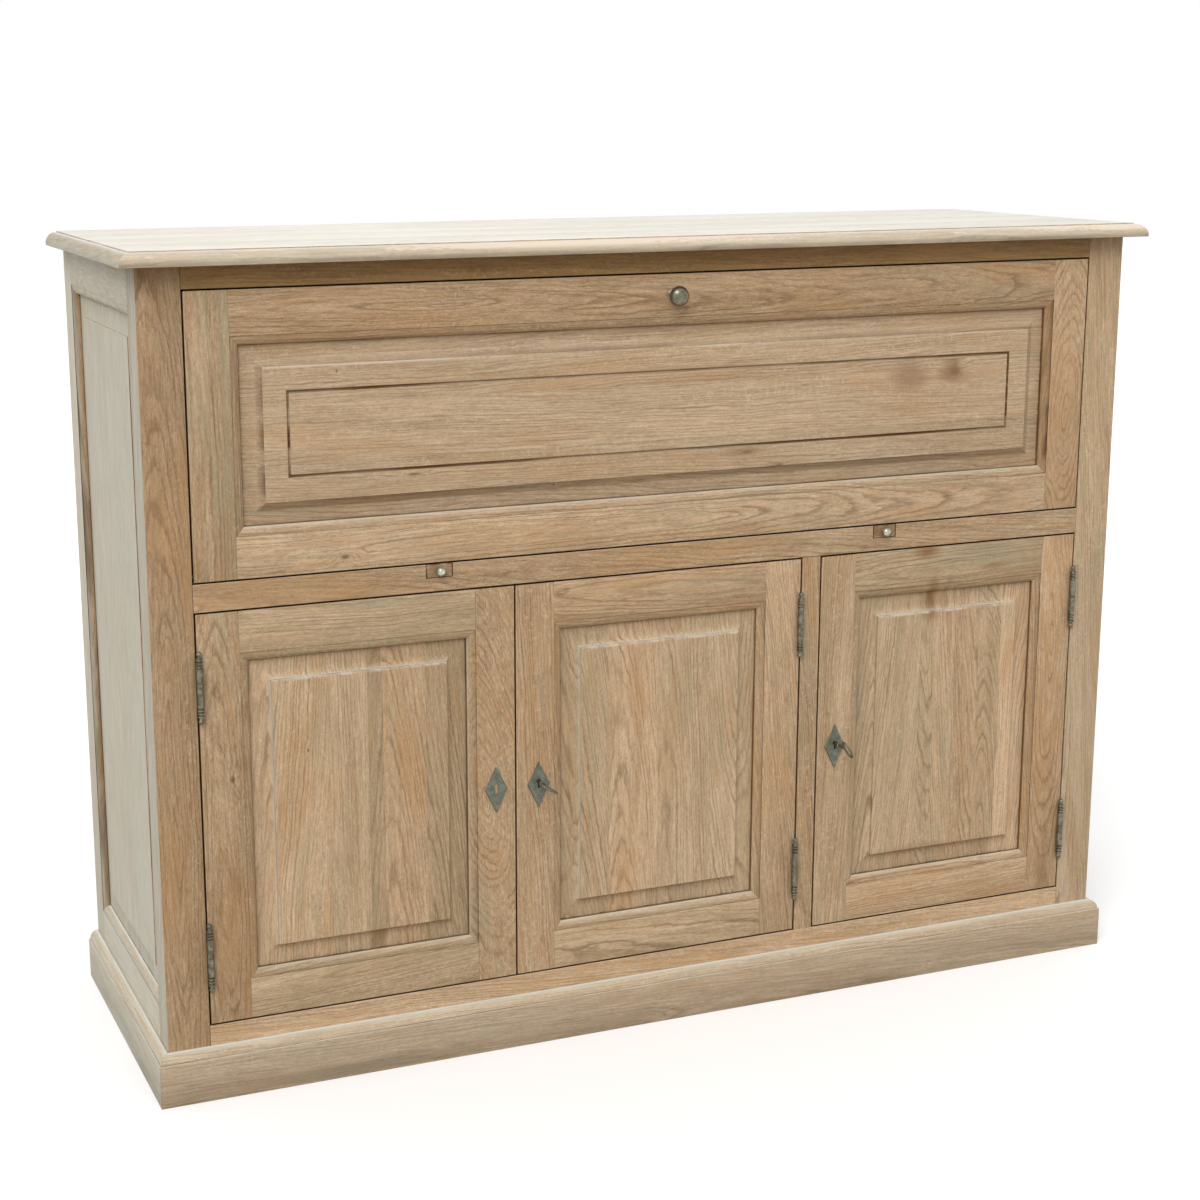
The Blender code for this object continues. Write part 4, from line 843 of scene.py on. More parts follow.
def makeDoor(name):
    look = {**doorLook, **doorLooks[name]}
    if name == "left_door":
        recesses = {"right": [boltSocket("middle_door")]}
    else:
        recesses = {"left": [lockPocket(name)]}
    members = (look["member"],) * 4
    shells, window = panelledFrame(name, "front", name + "_frame", members, look, look, recesses)
    makePiece(name + "_frame_boards", shells, oakFront, name, (name + "_frame",))
    panel = covePanel(name + "panel", "front", window, look, look["panel"], look.get("lighter", 0))
    makePiece(name + "_panel_boards", panel, oakFront, name, (name + "_panel",), shadeGaps=False)


for door in doorLooks:
    makeDoor(door)
print("doors made")


# Fall front

flapLook = {
    "stile": 0.058, "topRail": 0.059, "bottomRail": 0.056, "thick": 0.022, "margin": 0.0185,
    "chamfer": 0.011, "step": 0.0009, "fieldDepth": 0.002, "grooveInset": 0.0335, "grooveWidth": 0.0046,
    "grooveDepth": 0.002, "grooveDark": 0.95, "dirtAndShade": (1, 1.6, 1, 1), "pale": 0.1, "boards": (0.33, 0.66),
    "gap": 0.0003,
    "frame": {"left": {"tone": 0.2},
              "right": {"turn": 0, "pith": (0.0, 0.018), "slope": 0.22, "tone": 0.9},
              "bottom": {"turn": -4, "pith": (0.0, 0.026), "slope": 0.045, "tone": 0.55},
              "top": {"turn": 4, "pith": (0.0, 0.03), "slope": 0.05, "tone": -0.64}},
    "panel": {0: {"turn": 35, "pith": (0.03, 0.05), "slope": 0.03, "tone": -0.2},
              1: {"turn": 70, "pith": (0.02, 0.06), "slope": 0.02, "tone": 0.45},
              2: {"turn": 60, "pith": (0.02, 0.07), "slope": -0.03, "tone": 0.1}},
}


def makeFlap():
    look = flapLook
    members = (look["stile"], look["stile"], look["bottomRail"], look["topRail"])
    shells, window = panelledFrame("flap", "front", "flap_frame", members, look, look["frame"])
    makePiece("flap_frame_boards", shells, oakFront, "flap", ("flap_frame",))
    margin, fieldDepth = look["margin"], look["fieldDepth"]
    field = margin + look["chamfer"]
    groove = field + look["grooveInset"]
    half = look["grooveWidth"] / 2
    front, back = moulding["tongueFront"], moulding["tongueBack"]

    def hollow(inset):
        # the groove's round bottom: half a wave of a cosine
        return 0.5 + 0.5 * np.cos(math.pi * np.clip((inset - groove) / half, -1, 1))

    def depthOf(inset):
        # a straight bevel, a small step up to the field, and the groove
        foot = fieldDepth + look["step"]
        bevel = front + (foot - front) * np.clip((inset - margin) / look["chamfer"], 0, 1)
        return np.where(inset > field + hair, fieldDepth + look["grooveDepth"] * hollow(inset), bevel)

    stations = np.concatenate([[0.0, 0.0016, 0.008, margin - 0.0004, margin, field], field + np.array(ridge),
                               groove + half * np.array([-1.15, -1, -0.7, -0.4, 0, 0.4, 0.7, 1, 1.15])])
    panel = carvedPanel("flappanel", "front", window, look["boards"], stations, depthOf, field, look["panel"],
                        upright=False, stepShade=0.8)
    for shell in panel:
        shell["pale"] = look["pale"]
        # the groove is darker along its front
        onFront = shell["points"][:, 1] < frontY + back - 0.001
        inGroove = np.abs(insetOf(shell["points"], "front", window) - groove) < half * 0.9
        shell["grimeAndShade"] = np.where(onFront & inGroove, look["grooveDark"], shell["grimeAndShade"])

    # the boards' backs fill the frame's thickness behind the tongues
    left, right, bottom, top = window
    gap = look["gap"]
    edges = [bottom + gap, *(bottom + np.array(look["boards"]) * (top - bottom)), top - gap]
    for k in range(len(edges) - 1):
        corners = faces["front"](np.array([left + gap, right - gap]), np.array([edges[k], edges[k + 1]]),
                                 np.array([back - 0.0002, look["thick"]]))
        panel.append(addWood(easedBoard(*corners, 0, 0.0002), f"flappanel{k}", (2, 1, 0)))
    makePiece("flap_panel_boards", panel, oakFront, "flap", ("flap_panel",), shadeGaps=False)


makeFlap()
print("fall front made")


# Carcase

postLook = {
    "left": {"head": 0.35, "foot": 0.0,
             "cut": {"turn": 8, "pith": (0.005, 0.035), "slope": 0.07, "tone": -0.66}},
    "right": {"head": 0.1, "foot": -0.35, "cut": {"turn": 50, "tone": 0.3}},
    "ease": 0.0012, "headHeight": 0.1,
}


def boardPiece(node, board, axes, material, cut=None):
    # one board of the carcase in its node's place
    shell = addWood(board, node, axes, cut)
    makePiece(node + "_board", [shell], material, "carcase", (node,))


def makePost(side):
    # an eased board with painted shade at its head under the top, and rubbed lower down
    node = "front_post_" + side
    look = postLook[side]
    low, high = limits(node)
    board = easedBoard(low, high, 2, postLook["ease"])
    atHead = board["points"][:, 2] > high[2] - postLook["headHeight"]
    board["grimeAndShade"] = np.where(atHead, look["head"], look["foot"])
    boardPiece(node, board, (0, 1, 2), oakFront, look["cut"])


makePost("left")
makePost("right")
centreStile = edgeBoard(*limits("centre_stile"), "right", [boltSocket("right_door")])
boardPiece("centre_stile", centreStile, (0, 1, 2), oakFront)

railLook = {"thick": 0.030, "doorDepth": 0.0223, "lip": 0.009, "ease": 0.0005, "endLength": 0.0004,
            "notchHalf": 0.0195, "notchFloor": 0.7002, "notchWall": 0.00003, "axisDepth": 0.009,
            "axisHeight": 0.7288, "swing": 0.01188, "overhangShade": 0.25}


def easedFront(bottom, top, ease):
    # (y, z) points up a board's front face, its two arrises cut off
    return [(frontY + ease, bottom), (frontY, bottom + ease), (frontY, top - ease), (frontY + ease, top)]


def troughTop(top, back):
    # the top edge from front to back, hollowed by the circle that the flap's lower corner swings round
    look = railLook
    half = math.sqrt(look["swing"] ** 2 - (look["axisHeight"] - top) ** 2)
    y = look["axisDepth"] + half * np.cos(np.linspace(math.pi, 0, 9))
    z = look["axisHeight"] - np.sqrt(np.maximum(look["swing"] ** 2 - (y - look["axisDepth"]) ** 2, 0))
    return np.column_stack([frontY + np.append(y, back), np.append(np.minimum(z, top), top)])


def makeRails():
    # each rail has a lip behind the doors; the middle one is notched for the lopers
    look = railLook
    ease, lip = look["ease"], look["lip"]
    topLow, topHigh = limits("front_top_rail")
    left, right = topLow[0], topHigh[0]
    starts, ends = [left, left + look["endLength"]], [right - look["endLength"], right]
    shoulder = frontY + look["doorDepth"]
    back = frontY + look["thick"]

    bottom, top = topLow[2] + lip, topHigh[2]
    outline = [*easedFront(bottom, top, ease), (back, top), (back, bottom - lip), (shoulder, bottom - lip),
               (shoulder, bottom)]
    board = sectionBoard([(x, outline) for x in starts + ends])
    # darker towards its top: painted shadow of the top's overhang
    board["grimeAndShade"] = look["overhangShade"] * (board["points"][:, 2] - bottom) / (top - bottom)
    boardPiece("front_top_rail", board, (2, 1, 0), oakShaded)

    low, high = limits("front_bottom_rail")
    bottom, top = low[2], high[2] - lip
    outline = [*easedFront(bottom, top, ease), (shoulder, top), (shoulder, top + lip), (back, top + lip),
               (back, bottom)]
    board = sectionBoard([(x, outline) for x in starts + ends])
    boardPiece("front_bottom_rail", board, (2, 1, 0), oakFront)

    low, high = limits("front_middle_rail")
    bottom, top = low[2] + lip, high[2]
    full = np.array([*easedFront(bottom, top, ease), *troughTop(top, look["thick"]), (back, bottom - lip),
                     (shoulder, bottom - lip), (shoulder, bottom)])
    notched = full.copy()
    above = full[:, 1] > look["notchFloor"]
    notched[above, 1] = look["notchFloor"] + (full[above, 1] - top) * 0.01
    sections = [(x, full) for x in starts]
    for node in ("loper_left", "loper_right"):
        centre = middleOf(node)[0]
        a, b = centre - look["notchHalf"], centre + look["notchHalf"]
        sections += [(a - look["notchWall"], full), (a, notched), (b, notched), (b + look["notchWall"], full)]
    board = sectionBoard(sections + [(x, full) for x in ends])
    boardPiece("front_middle_rail", board, (2, 1, 0), oakFront)


makeRails()

sideLook = {"frontStrip": 0.0015, "backStile": 0.051, "bottomRail": 0.1227, "topRail": 0.054, "thick": 0.022,
            "margin": 0.0195, "cove": 0.0105, "fieldDepth": 0.007, "step": 0.0006, "boards": (0.36, 0.67),
            "dirtAndShade": (1, 1.7, 0.6, 0.3), "stepShade": 0.85}


def makeSide(side):
    look = sideLook
    members = (look["frontStrip"], look["backStile"], look["bottomRail"], look["topRail"])
    shells, window = panelledFrame("side" + side, side, "side_frame_" + side, members, look, {})
    makePiece(f"side_frame_{side}_boards", shells, oakPlain, "carcase", ("side_frame_" + side,),
              shadeGaps=False)
    panel = covePanel("sidepanel" + side, side, window, look, {}, stepShade=look["stepShade"])
    for shell in panel:
        shell["grimeAndShade"] = np.maximum(shell["grimeAndShade"], 0)
    makePiece(f"side_panel_{side}_boards", panel, oakPlain, "carcase", ("side_panel_" + side,),
              shadeGaps=False)


makeSide("left")
makeSide("right")


# Plinth and top

plinthLook = {"projection": 0.0155, "flat": 0.061, "fillet": 0.0022, "gap": 0.0003, "ease": 0.0006,
              "step": 0.0005, "mitre": 0.0002, "pale": 0.24, "tone": 0.35}


def plinthProfile():
    # (out from the carcase, height): a flat, a small step in and a quarter round up to 75 degrees
    look = plinthLook
    out, flat, gap, ease, step = (look[key] for key in ("projection", "flat", "gap", "ease", "step"))
    radius = out - look["fillet"]
    t = np.radians(np.linspace(0, 75, 12))
    across = np.concatenate([[gap, out - ease, out, out, out - step, radius + 0.0002],
                             radius * np.cos(t), [gap]])
    height = np.concatenate([[0.0, 0.0, ease, flat - step, flat, flat], flat + radius * np.sin(t),
                             [flat + radius]])
    # darker along the floor, in the crease where the round meets its ledge, and where it meets the carcase
    grimeAndShade = np.concatenate([[0.6, 0.6, 0.5, 0.0, 0.0, 0.8, 0.7], np.zeros(11), [0.6]])
    return across, height, grimeAndShade


def makePlinth():
    # the profile carried along the front and both sides, mitred at the corners
    look = plinthLook
    out, height, grimeAndShade = plinthProfile()
    front = np.array([np.column_stack([leftX - out + look["mitre"], frontY - out, height]),
                      np.column_stack([rightX + out - look["mitre"], frontY - out, height])])
    runs = [("front", front, (2, 1, 0), oakFront)]
    for side, x in (("left", leftX - out), ("right", rightX + out)):
        rings = np.array([np.column_stack([x, frontY - out + look["mitre"], height]),
                          np.column_stack([x, np.full(len(out), backY), height])])
        runs.append((side, rings, (2, 0, 1), oakPlain))
    for side, rings, axes, material in runs:
        shell = tube(rings)
        shell["grimeAndShade"] = np.tile(grimeAndShade, 2)
        shell["pale"] = look["pale"]
        addWood(shell, "plinth" + side, axes, {"tone": look["tone"]})
        makePiece(f"plinth_{side}_moulding", [shell], material, "carcase", ("plinth_" + side,),
                  shadeGaps=False)


makePlinth()

topLook = {"fillet": 0.0025, "radius": 0.016, "ease": 0.0005, "drop": 0.0004, "boards": (0.27, 0.52, 0.76),
           "boardEase": 0.0004, "pale": 0.46, "dirtAndShade": 0.34, "line": (0.35, 0.85, 0.85),
           "wearAndPaintedLightAt": (0, 0.3, 0.5, 1), "wearAndPaintedLight": (0.4, -0.3, -1.1, -1.15), "footShade": 0.5}


def makeTop():
    # edges: a fillet under a quarter round, painted shade at the foot, and on the front painted shade low on
    # the curve with wear and painted highlight higher up; boards lie between them
    look = topLook
    low, high = limits("top_board")
    radius, fillet, ease = look["radius"], look["fillet"], look["ease"]
    t = np.radians(np.linspace(180, 90, 16))[1:]
    inset = np.concatenate([[radius, ease, 0.0, 0.0], radius + radius * np.cos(t), [radius]])
    z = low[2] + np.concatenate([[0.0, 0.0, ease, fillet], fillet + radius * np.sin(t),
                                 [fillet + radius - look["drop"]]])
    curve = np.linspace(0, 1, 13)
    grimeAndShade = np.concatenate([[look["dirtAndShade"]] * 4, look["dirtAndShade"] * (1 - curve), look["line"]])
    wearAndPaintedLight = np.concatenate([[look["footShade"]] * 4, np.interp(curve, look["wearAndPaintedLightAt"], look["wearAndPaintedLight"]),
                             look["line"]])
    front = np.array([np.column_stack([low[0] + inset + hair, low[1] + inset, z]),
                      np.column_stack([high[0] - inset - hair, low[1] + inset, z])])
    runs = [("front", front, (1, 2, 0), wearAndPaintedLight)]
    for side, x in (("left", low[0] + inset), ("right", high[0] - inset)):
        rings = np.array([np.column_stack([x, low[1] + inset + hair, z]),
                          np.column_stack([x, np.full(len(x), high[1]), z])])
        runs.append((side, rings, (0, 2, 1), grimeAndShade))
    shells = []
    for side, rings, axes, dirtAndShade in runs:
        shell = tube(rings)
        shell["grimeAndShade"] = np.tile(dirtAndShade, 2)
        shell["pale"] = look["pale"]
        shells.append(addWood(shell, "topedge" + side, axes))
    start, end = low[1] + radius, high[1]
    left, right = low[0] + radius + hair, high[0] - radius - hair
    lines = [start, *(start + np.array(look["boards"]) * (end - start)), end]
    for k in range(len(lines) - 1):
        board = easedBoard((left, lines[k] + hair, low[2]), (right, lines[k + 1] - hair, high[2]), 0,
                           look["boardEase"])
        shells.append(addWood(board, f"top{k}", (1, 2, 0)))
    makePiece("top_boards", shells, oakPlain, "carcase", ("top_board",), shadeGaps=False)


makeTop()


# Lopers

loperLook = {"bottom": 0.7005, "ease": 0.0006, "dust": 0.0018, "endEase": 0.0005, "underside": 0.004,
             "endDirt": 0.55, "arrisDark": 0.5, "sideDirt": 0.12, "pegBack": 0.030, "pegDirt": 0.3,
             "peg": [(0, 0), (0.0035, 0), (0.004, 0.0005), (0.004, 0.010), (0, 0.010)]}


def makeLoper(side):
    # a bar with a dusty front end that grows darker towards its rim, and the peg on its top that stops it
    look = loperLook
    node = "loper_" + side
    low, high = limits(node)
    bottom, top, ease, dust = look["bottom"], high[2], look["ease"], look["dust"]
    front = easedFront(bottom, top, ease)
    outline = [*front[:2], (frontY, bottom + dust), (frontY, top - dust), *front[2:],
               *troughTop(top, high[1] - frontY), (high[1], bottom), (frontY + look["underside"], bottom)]
    lengths = np.array([0, look["endEase"], dust])
    stations = np.concatenate([low[0] + lengths, high[0] - lengths[::-1]])
    board = sectionBoard([(x, outline) for x in stations], look["endEase"])
    p = board["points"]
    near = np.minimum(np.minimum(p[:, 0] - low[0], high[0] - p[:, 0]),
                      np.minimum(p[:, 2] - bottom, top - p[:, 2]))
    atEnd = look["endDirt"] + look["arrisDark"] * np.clip(1 - near / dust, 0, 1)
    board["grimeAndShade"] = np.where(p[:, 1] < frontY + dust, atEnd, look["sideDirt"])
    foot = (middleOf(node)[0], high[1] - look["pegBack"], low[2])
    peg = turned(look["peg"], foot, (0, 0, 1), 20)
    peg["grimeAndShade"] = np.full(len(peg["points"]), look["pegDirt"])
    shells = [addWood(board, node, (0, 2, 1)), addWood(peg, node + "peg", (0, 1, 2))]
    makePiece(node + "_bar", shells, oakFront, node, (node,))


makeLoper("left")
makeLoper("right")
print("carcase made")


# Fittings

hingeLook = {"radius": 0.0045, "length": 0.080, "neck": 0.0025, "neckEnd": 0.0004, "ball": 0.0038,
             "neckLength": 0.002, "pin": 0.0025, "pinReach": 0.026, "gap": 0.0003, "end": 0.0006,
             "ease": 0.0003, "rings": (0.0022, 0.0066, 0.0110),
             "ring": ((0, 0), (0.0004, -0.002), (0.0022, -0.002), (0.0026, 0)),
             "opening": 0.05875, "leafWidth": 0.0025, "leafDepth": 0.032}


def makeHinge(door, end):
    # the lower half is a finial, a ringed barrel and a pin; the upper half mirrors it round the pin's bore
    look = hingeLook
    lower, upper = f"{door}_{end}_hinge_lower", f"{door}_{end}_hinge_upper"
    low, high = limits(lower)
    radius, length, ball, pin = look["radius"], look["length"], look["ball"], look["pin"]
    gap, ease = look["gap"], look["ease"]
    base = low[2] + 2 * ball + look["neckLength"]
    axisX = high[0] - radius if door == "right_door" else low[0] + radius
    y = low[1] + radius
    foot = -ball - look["neckLength"]
    finial = [(ball * math.cos(a), foot + ball * math.sin(a))
              for a in np.radians(np.linspace(-90, 50, 12))[1:]]
    rounded = [(radius - look["end"] * (1 - math.sin(a)), look["end"] * (1 - math.cos(a)))
               for a in np.radians([0, 45, 90])]
    rings = [(radius + deep, start + place) for start in look["rings"] for place, deep in look["ring"]]
    lowerHalf = [*finial, (look["neck"], -look["neckEnd"]), *rounded, *rings]
    upperHalf = [(r, length - d) for r, d in lowerHalf[::-1]]
    half = length / 2 - gap / 2
    start = half + gap
    reach = half + look["pinReach"]
    barrel = [(0, foot - ball), *lowerHalf, (radius, half - ease), (radius - ease, half), (pin, half),
              (pin, reach), (0, reach)]
    cap = [(0, reach + gap), (pin + gap, reach + gap), (pin + gap, start), (radius - ease, start),
           (radius, start + ease), *upperHalf, (0, length - foot + ball)]
    edges = {"left_door": leftX + look["opening"], "middle_door": limits("centre_stile")[0][0],
             "right_door": rightX - look["opening"]}
    way = 1 if door == "left_door" else -1
    x0, x1 = edges[door] + way * gap, edges[door] + way * (look["leafWidth"] - gap)
    halves = ((lower, "carcase", barrel, 0, half), (upper, door, cap, start, length))
    for node, body, profile, bottom, top in halves:
        shell = turned(profile, (axisX, y, base), (0, 0, 1), 28)
        leaf = easedBoard((x0, y, base + bottom + gap),
                          (x1, frontY + look["leafDepth"], base + top - gap), 2, ease)
        makePiece(node + "_half", [shell, leaf], wornBrass, body, (node,))


for door in doorLooks:
    for end in ("bottom", "top"):
        makeHinge(door, end)

plateLook = {"halfWidth": 0.017, "halfHeight": 0.034, "thick": 0.0018, "above": 0.0045, "hole": 0.0033,
             "slotHalf": 0.0018, "slotEnd": 0.0093, "bevel": 0.0008, "rim": 0.0003, "steps": 96,
             "darkBack": 0.0009, "darkGap": 0.0001, "darkTop": 0.0008, "darkEase": 0.0002}
blindPlateLook = dict(plateLook, above=0.0058, slotHalf=0.0024, slotEnd=0.0118)      # the left door's dummy


def makeEscutcheon(door):
    # a profile across the rim carried round the plate: r goes from the keyhole's edge to the diamond's edge
    look = blindPlateLook if door == "left_door" else plateLook
    node = door + "_escutcheon"
    centreX, centreZ = middleOf(node)
    back = limits(node)[1][1]
    above, thick, rim = look["above"], look["thick"], look["rim"]
    t = np.linspace(0, math.tau, look["steps"], endpoint=False)
    c, s = np.cos(t), np.sin(t)
    diamond = 1 / (np.abs(c) / look["halfWidth"] + np.abs(s) / look["halfHeight"])
    slotTop = above - math.sqrt(look["hole"] ** 2 - look["slotHalf"] ** 2)
    slot = np.minimum(look["slotHalf"] / np.maximum(np.abs(c), touch),
                      np.where(s < 0, look["slotEnd"] - above, slotTop) / np.maximum(np.abs(s), touch))
    root = look["hole"] ** 2 - (above * c) ** 2
    circle = np.where((root > 0) & (s > 0), above * s + np.sqrt(np.maximum(root, 0)), 0)
    hole = np.maximum(slot, circle)
    radii = np.stack([hole, hole, hole + rim, hole + (diamond - hole) * 0.5, diamond - look["bevel"] * 1.4,
                      diamond - 0.0001, diamond], axis=1)
    depths = np.array([0, thick - rim, thick, thick, thick, thick * 0.35, 0])
    rings = np.stack([centreX + radii * c[:, None], np.broadcast_to(back - depths, radii.shape),
                      centreZ + radii * s[:, None]], axis=-1)
    makePiece(node + "_plate", [tube(rings, ring=True)], agedSteel, door, (node,))
    # the locking doors get a dark sheet in the slot: painted shadow of the keyhole
    if door != "left_door":
        gap = look["darkGap"]
        half = look["slotHalf"] - gap
        dark = easedBoard((centreX - half, back - look["darkBack"], centreZ - look["slotEnd"] + gap),
                          (centreX + half, back - gap, centreZ + look["darkTop"]), 2, look["darkEase"])
        makePiece(door + "_keyhole_shadow", [dark], keyholeShadow, door)


for door in doorLooks:
    makeEscutcheon(door)

keyLook = {"radius": 0.003, "out": 0.040, "bowWidth": 0.015, "bowLength": 0.011, "wire": 0.0021,
           "collar": 0.0046, "collarOut": 0.014, "collarLength": 0.004, "bitReach": 0.009, "bitWidth": 0.003,
           "bitDepth": (0.0133, 0.0177), "into": 0.0196, "above": 0.0045,
           "turn": {"middle_door": -31, "right_door": -62}}


def makeKey(door):
    # a collared shank spun about its axis, an oval bow of round wire, and a bit inside the lock
    look = keyLook
    x, z = middleOf(door + "_escutcheon")
    z += look["above"]
    radius, wire = look["radius"], look["wire"]
    out = look["out"] - look["bowLength"] + wire / 2
    end = out + look["into"]
    c0 = out - look["collarOut"] - look["collarLength"] / 2
    c1 = c0 + look["collarLength"]
    ring = look["collar"]
    profile = [(0, -0.001), (radius * 0.8, 0), (radius * 0.92, 0.003), (radius, c0 - 0.001),
               (radius * 1.1, c0), (ring * 0.9, c0 + 0.0004), (ring, c0 + 0.0012), (ring, c1 - 0.0012),
               (ring * 0.9, c1 - 0.0004), (radius * 1.1, c1), (radius, c1 + 0.001),
               (radius, end - 0.0005), (radius - 0.0005, end), (0, end)]
    shank = turned(profile, (x, frontY - out, z), (0, 1, 0), 24)

    angle = np.linspace(0, math.tau, 40, endpoint=False)
    around = np.linspace(0, math.tau, 12, endpoint=False)
    wide, long = look["bowWidth"] - wire, look["bowLength"] - wire
    normal = np.column_stack([np.cos(angle) * long, np.sin(angle) * wide])
    normal /= np.linalg.norm(normal, axis=1)[:, None]
    across = np.cos(angle)[:, None] * wide + normal[:, 0, None] * wire * np.cos(around)
    forward = np.sin(angle)[:, None] * long + normal[:, 1, None] * wire * np.cos(around)
    up = np.broadcast_to(wire * 0.8 * np.sin(around), across.shape)
    bow = tube(np.stack([across, forward - look["out"] + frontY, up], axis=-1), ring=True)
    bit = easedBoard((0, frontY + look["bitDepth"][0], -look["bitWidth"] / 2),
                     (look["bitReach"], frontY + look["bitDepth"][1], look["bitWidth"] / 2), 0, 0.0004)
    a = math.radians(look["turn"][door])
    for shell in (bow, bit):
        p = shell["points"]
        shell["points"] = np.column_stack([x + p[:, 0] * math.cos(a) - p[:, 2] * math.sin(a), p[:, 1],
                                           z + p[:, 0] * math.sin(a) + p[:, 2] * math.cos(a)])
    body = door.replace("door", "key")
    makePiece(door + "_key_shank", [shank], darkPewter, body, (door + "_key",))
    makePiece(door + "_key_bow", [bow, bit], agedSteel, body)


for door in keyLook["turn"]:
    makeKey(door)

# Knobs: a profile of (radius, distance out) up to the neck, then a ball of radius by depth about its
# middle from the start angle to the pole
flapKnobLook = {"foot": [(0, 0), (0.0098, 0), (0.0105, 0.0005), (0.0105, 0.0013), (0.0098, 0.002),
                         (0.0072, 0.003), (0.0065, 0.005)],
                "radius": 0.014, "depth": 0.0105, "middle": 0.0165, "start": -60, "steps": 18, "segments": 40}
loperKnobLook = {"foot": [(0, 0), (0.0047, 0), (0.005, 0.0003), (0.005, 0.0006), (0.0046, 0.0008),
                          (0.0036, 0.001)],
                 "radius": 0.0068, "depth": 0.0068, "middle": 0.0057, "start": -55, "steps": 16,
                 "segments": 32}


def makeKnob(node, part, look, material, body):
    x, z = middleOf(node)
    t = np.radians(np.linspace(look["start"], 90, look["steps"]))[:-1]
    ball = [(look["radius"] * math.cos(a), look["middle"] + look["depth"] * math.sin(a)) for a in t]
    profile = [*look["foot"], *ball, (0, look["middle"] + look["depth"])]
    knob = turned(profile, (x, limits(node)[1][1], z), (0, -1, 0), look["segments"])
    makePiece(node + part, [knob], material, body, (node,))


makeKnob("flap_knob", "_turned", flapKnobLook, darkPewter, "flap")
for side in ("left", "right"):
    makeKnob("loper_knob_" + side, "_bead", loperKnobLook, pewter, "loper_" + side)

backLook = {"boards": 9, "gap": 0.0002, "ease": 0.0012}


def makeBack():
    # upright boards side by side in the place of the back panel
    low, high = limits("back_panel")
    gap = backLook["gap"]
    lines = np.linspace(low[0], high[0], backLook["boards"] + 1)
    shells = []
    for k in range(backLook["boards"]):
        board = easedBoard((lines[k] + gap, low[1], low[2]), (lines[k + 1] - gap, high[1], high[2]), 2,
                           backLook["ease"])
        shells.append(addWood(board, f"back{k}", (0, 1, 2)))
    makePiece("back_boards", shells, oakInside, "carcase", ("back_panel",))


def dress(names, material):
    # a CAD node that keeps its shape takes a finish in every slot
    for name in names:
        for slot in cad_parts[name].material_slots:
            slot.material = material


makeBack()
dress(("partition",), oakInsideTall)
dress(("bottom_board", "desk_floor", "shelf_left", "shelf_right"), oakInsideLong)
dress(("loper_guide_left", "loper_guide_right"), oakInsideDeep)
dress(("flap_pivot_left", "flap_pivot_right", "left_door_bolt", "left_door_bolt_guide",
       "middle_door_lock_case", "middle_door_lock_bolt", "right_door_lock_case", "right_door_lock_bolt"),
      agedSteel)
print("fittings made")


# Camera, light and floor

cameraLook = {"place": (-1.3091, -2.9106, 1.3257), "azimuth": -22.21, "down": 12.86, "roll": -0.22,
              "lens": 64.35, "sensor": 36, "shiftX": 0.0546, "shiftY": -0.0034}


def makeCamera():
    look = cameraLook
    data = bpy.data.cameras.new("camera")
    data.lens = look["lens"]
    data.sensor_width = look["sensor"]
    data.shift_x = look["shiftX"]
    data.shift_y = look["shiftY"]
    camera = bpy.data.objects.new("camera", data)
    camera.location = look["place"]
    turn = (Matrix.Rotation(math.radians(look["azimuth"]), 3, "Z")
            @ Matrix.Rotation(math.radians(90 - look["down"]), 3, "X")
            @ Matrix.Rotation(math.radians(look["roll"]), 3, "Z"))
    camera.rotation_euler = turn.to_euler()
    bpy.context.scene.collection.objects.link(camera)
    bpy.context.scene.camera = camera


lightLook = {"sky": 0.9, "sun": 1.75, "sunFrom": (-0.46, -0.58, 0.67), "softness": 35, "floorSize": 14.0,
             "floorRough": 0.9, "floor": (0.95, 0.95, 0.95, 1), "floorBounce": (0.36, 0.31, 0.25, 1)}
white = (1, 1, 1, 1)


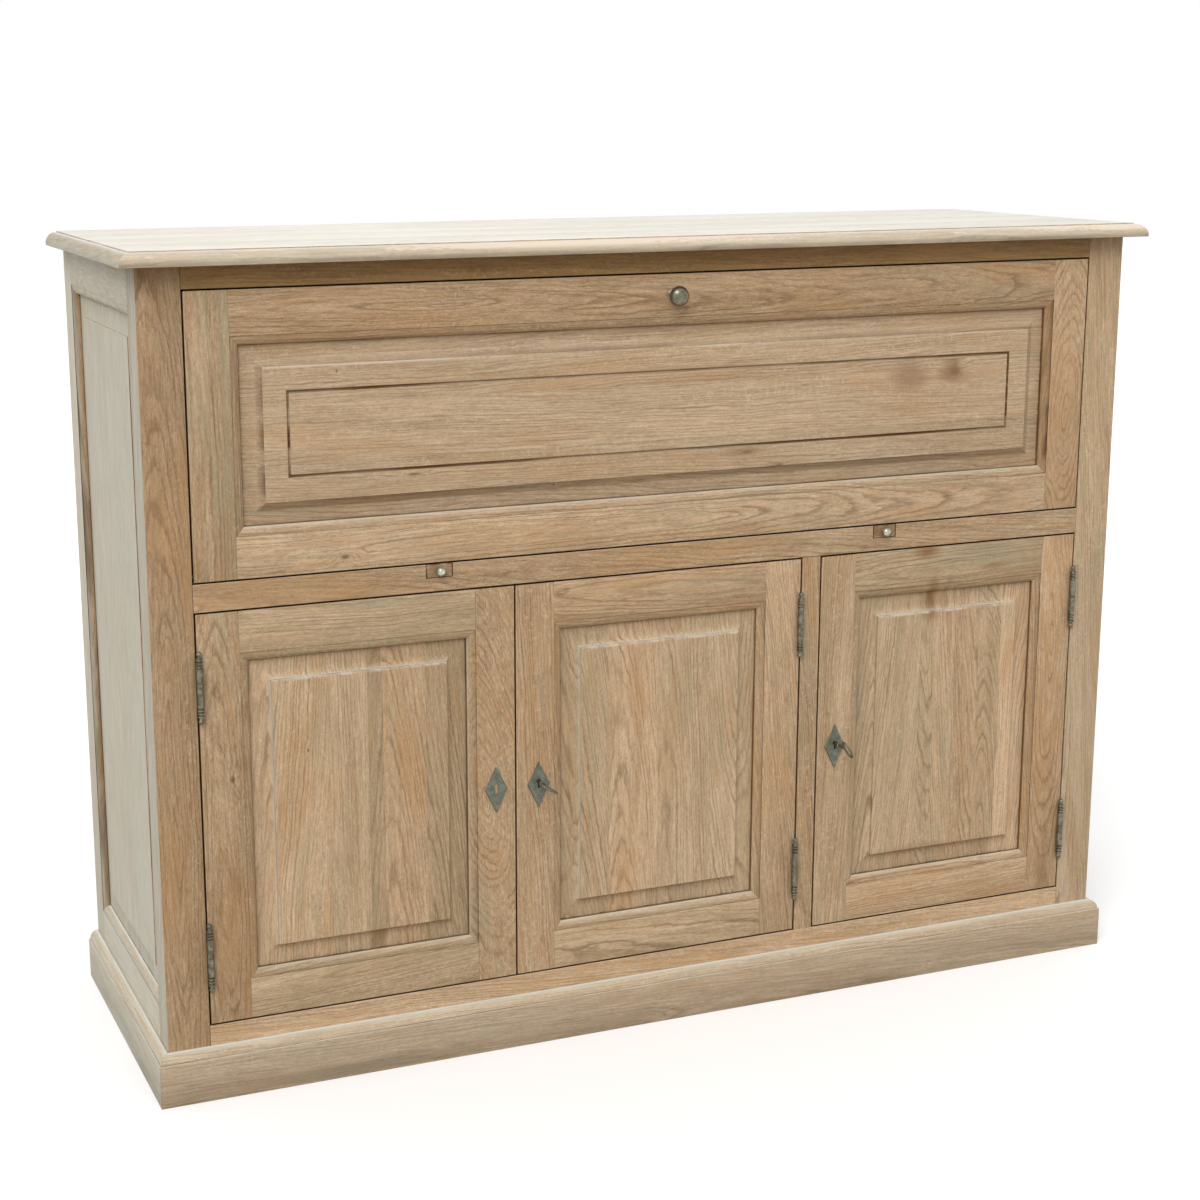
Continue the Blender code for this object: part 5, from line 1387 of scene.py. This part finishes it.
def makeSun():
    data = bpy.data.lights.new("key", "SUN")
    data.energy = lightLook["sun"]
    data.angle = math.radians(lightLook["softness"])
    light = bpy.data.objects.new("key", data)
    light.location = (-2, -3, 3)
    light.rotation_euler = Vector(lightLook["sunFrom"]).to_track_quat("Z", "Y").to_euler()
    bpy.context.scene.collection.objects.link(light)


def seenRay(tree):
    # 1 where the camera, a reflection or a refraction looks
    path = put(tree, "ShaderNodeLightPath").outputs
    seen = calc(tree, "MAXIMUM", path["Is Camera Ray"], path["Is Glossy Ray"])
    return calc(tree, "MAXIMUM", seen, path["Is Transmission Ray"])


def makeWorld():
    # an even white sky that lights the piece, and plain white behind it
    world = bpy.data.worlds.new("studio")
    bpy.context.scene.world = world
    world.use_nodes = True
    tree = world.node_tree
    plain = tree.nodes["Background"]
    plain.inputs["Color"].default_value = white
    plain.inputs["Strength"].default_value = lightLook["sky"]
    shown = put(tree, "ShaderNodeBackground", [("Color", white), ("Strength", 1.0)])
    mix = put(tree, "ShaderNodeMixShader", [(0, seenRay(tree)), (1, plain.outputs[0]), (2, shown.outputs[0])])
    tree.links.new(mix.outputs[0], tree.nodes["World Output"].inputs["Surface"])


def makeFloor():
    # white to the camera with the part's shadow on it; duller to the light that it throws back up
    size = lightLook["floorSize"]
    mesh = bpy.data.meshes.new("floor")
    corners = [(-size, -size, 0), (size, -size, 0), (size, size, 0), (-size, size, 0)]
    mesh.from_pydata(corners, [], [(0, 1, 2, 3)])
    floor = bpy.data.objects.new("floor", mesh)
    bpy.context.scene.collection.objects.link(floor)
    material, tree, shader = newMaterial("floor")
    colour = blendColour(tree, seenRay(tree), lightLook["floorBounce"], lightLook["floor"])
    tree.links.new(colour, shader.inputs["Base Color"])
    shader.inputs["Roughness"].default_value = lightLook["floorRough"]
    shader.inputs["Specular IOR Level"].default_value = 0.0
    mesh.materials.append(material)


makeCamera()
makeWorld()
makeSun()
makeFloor()
bpy.context.scene.view_settings.view_transform = "Standard"
print("camera and light set")
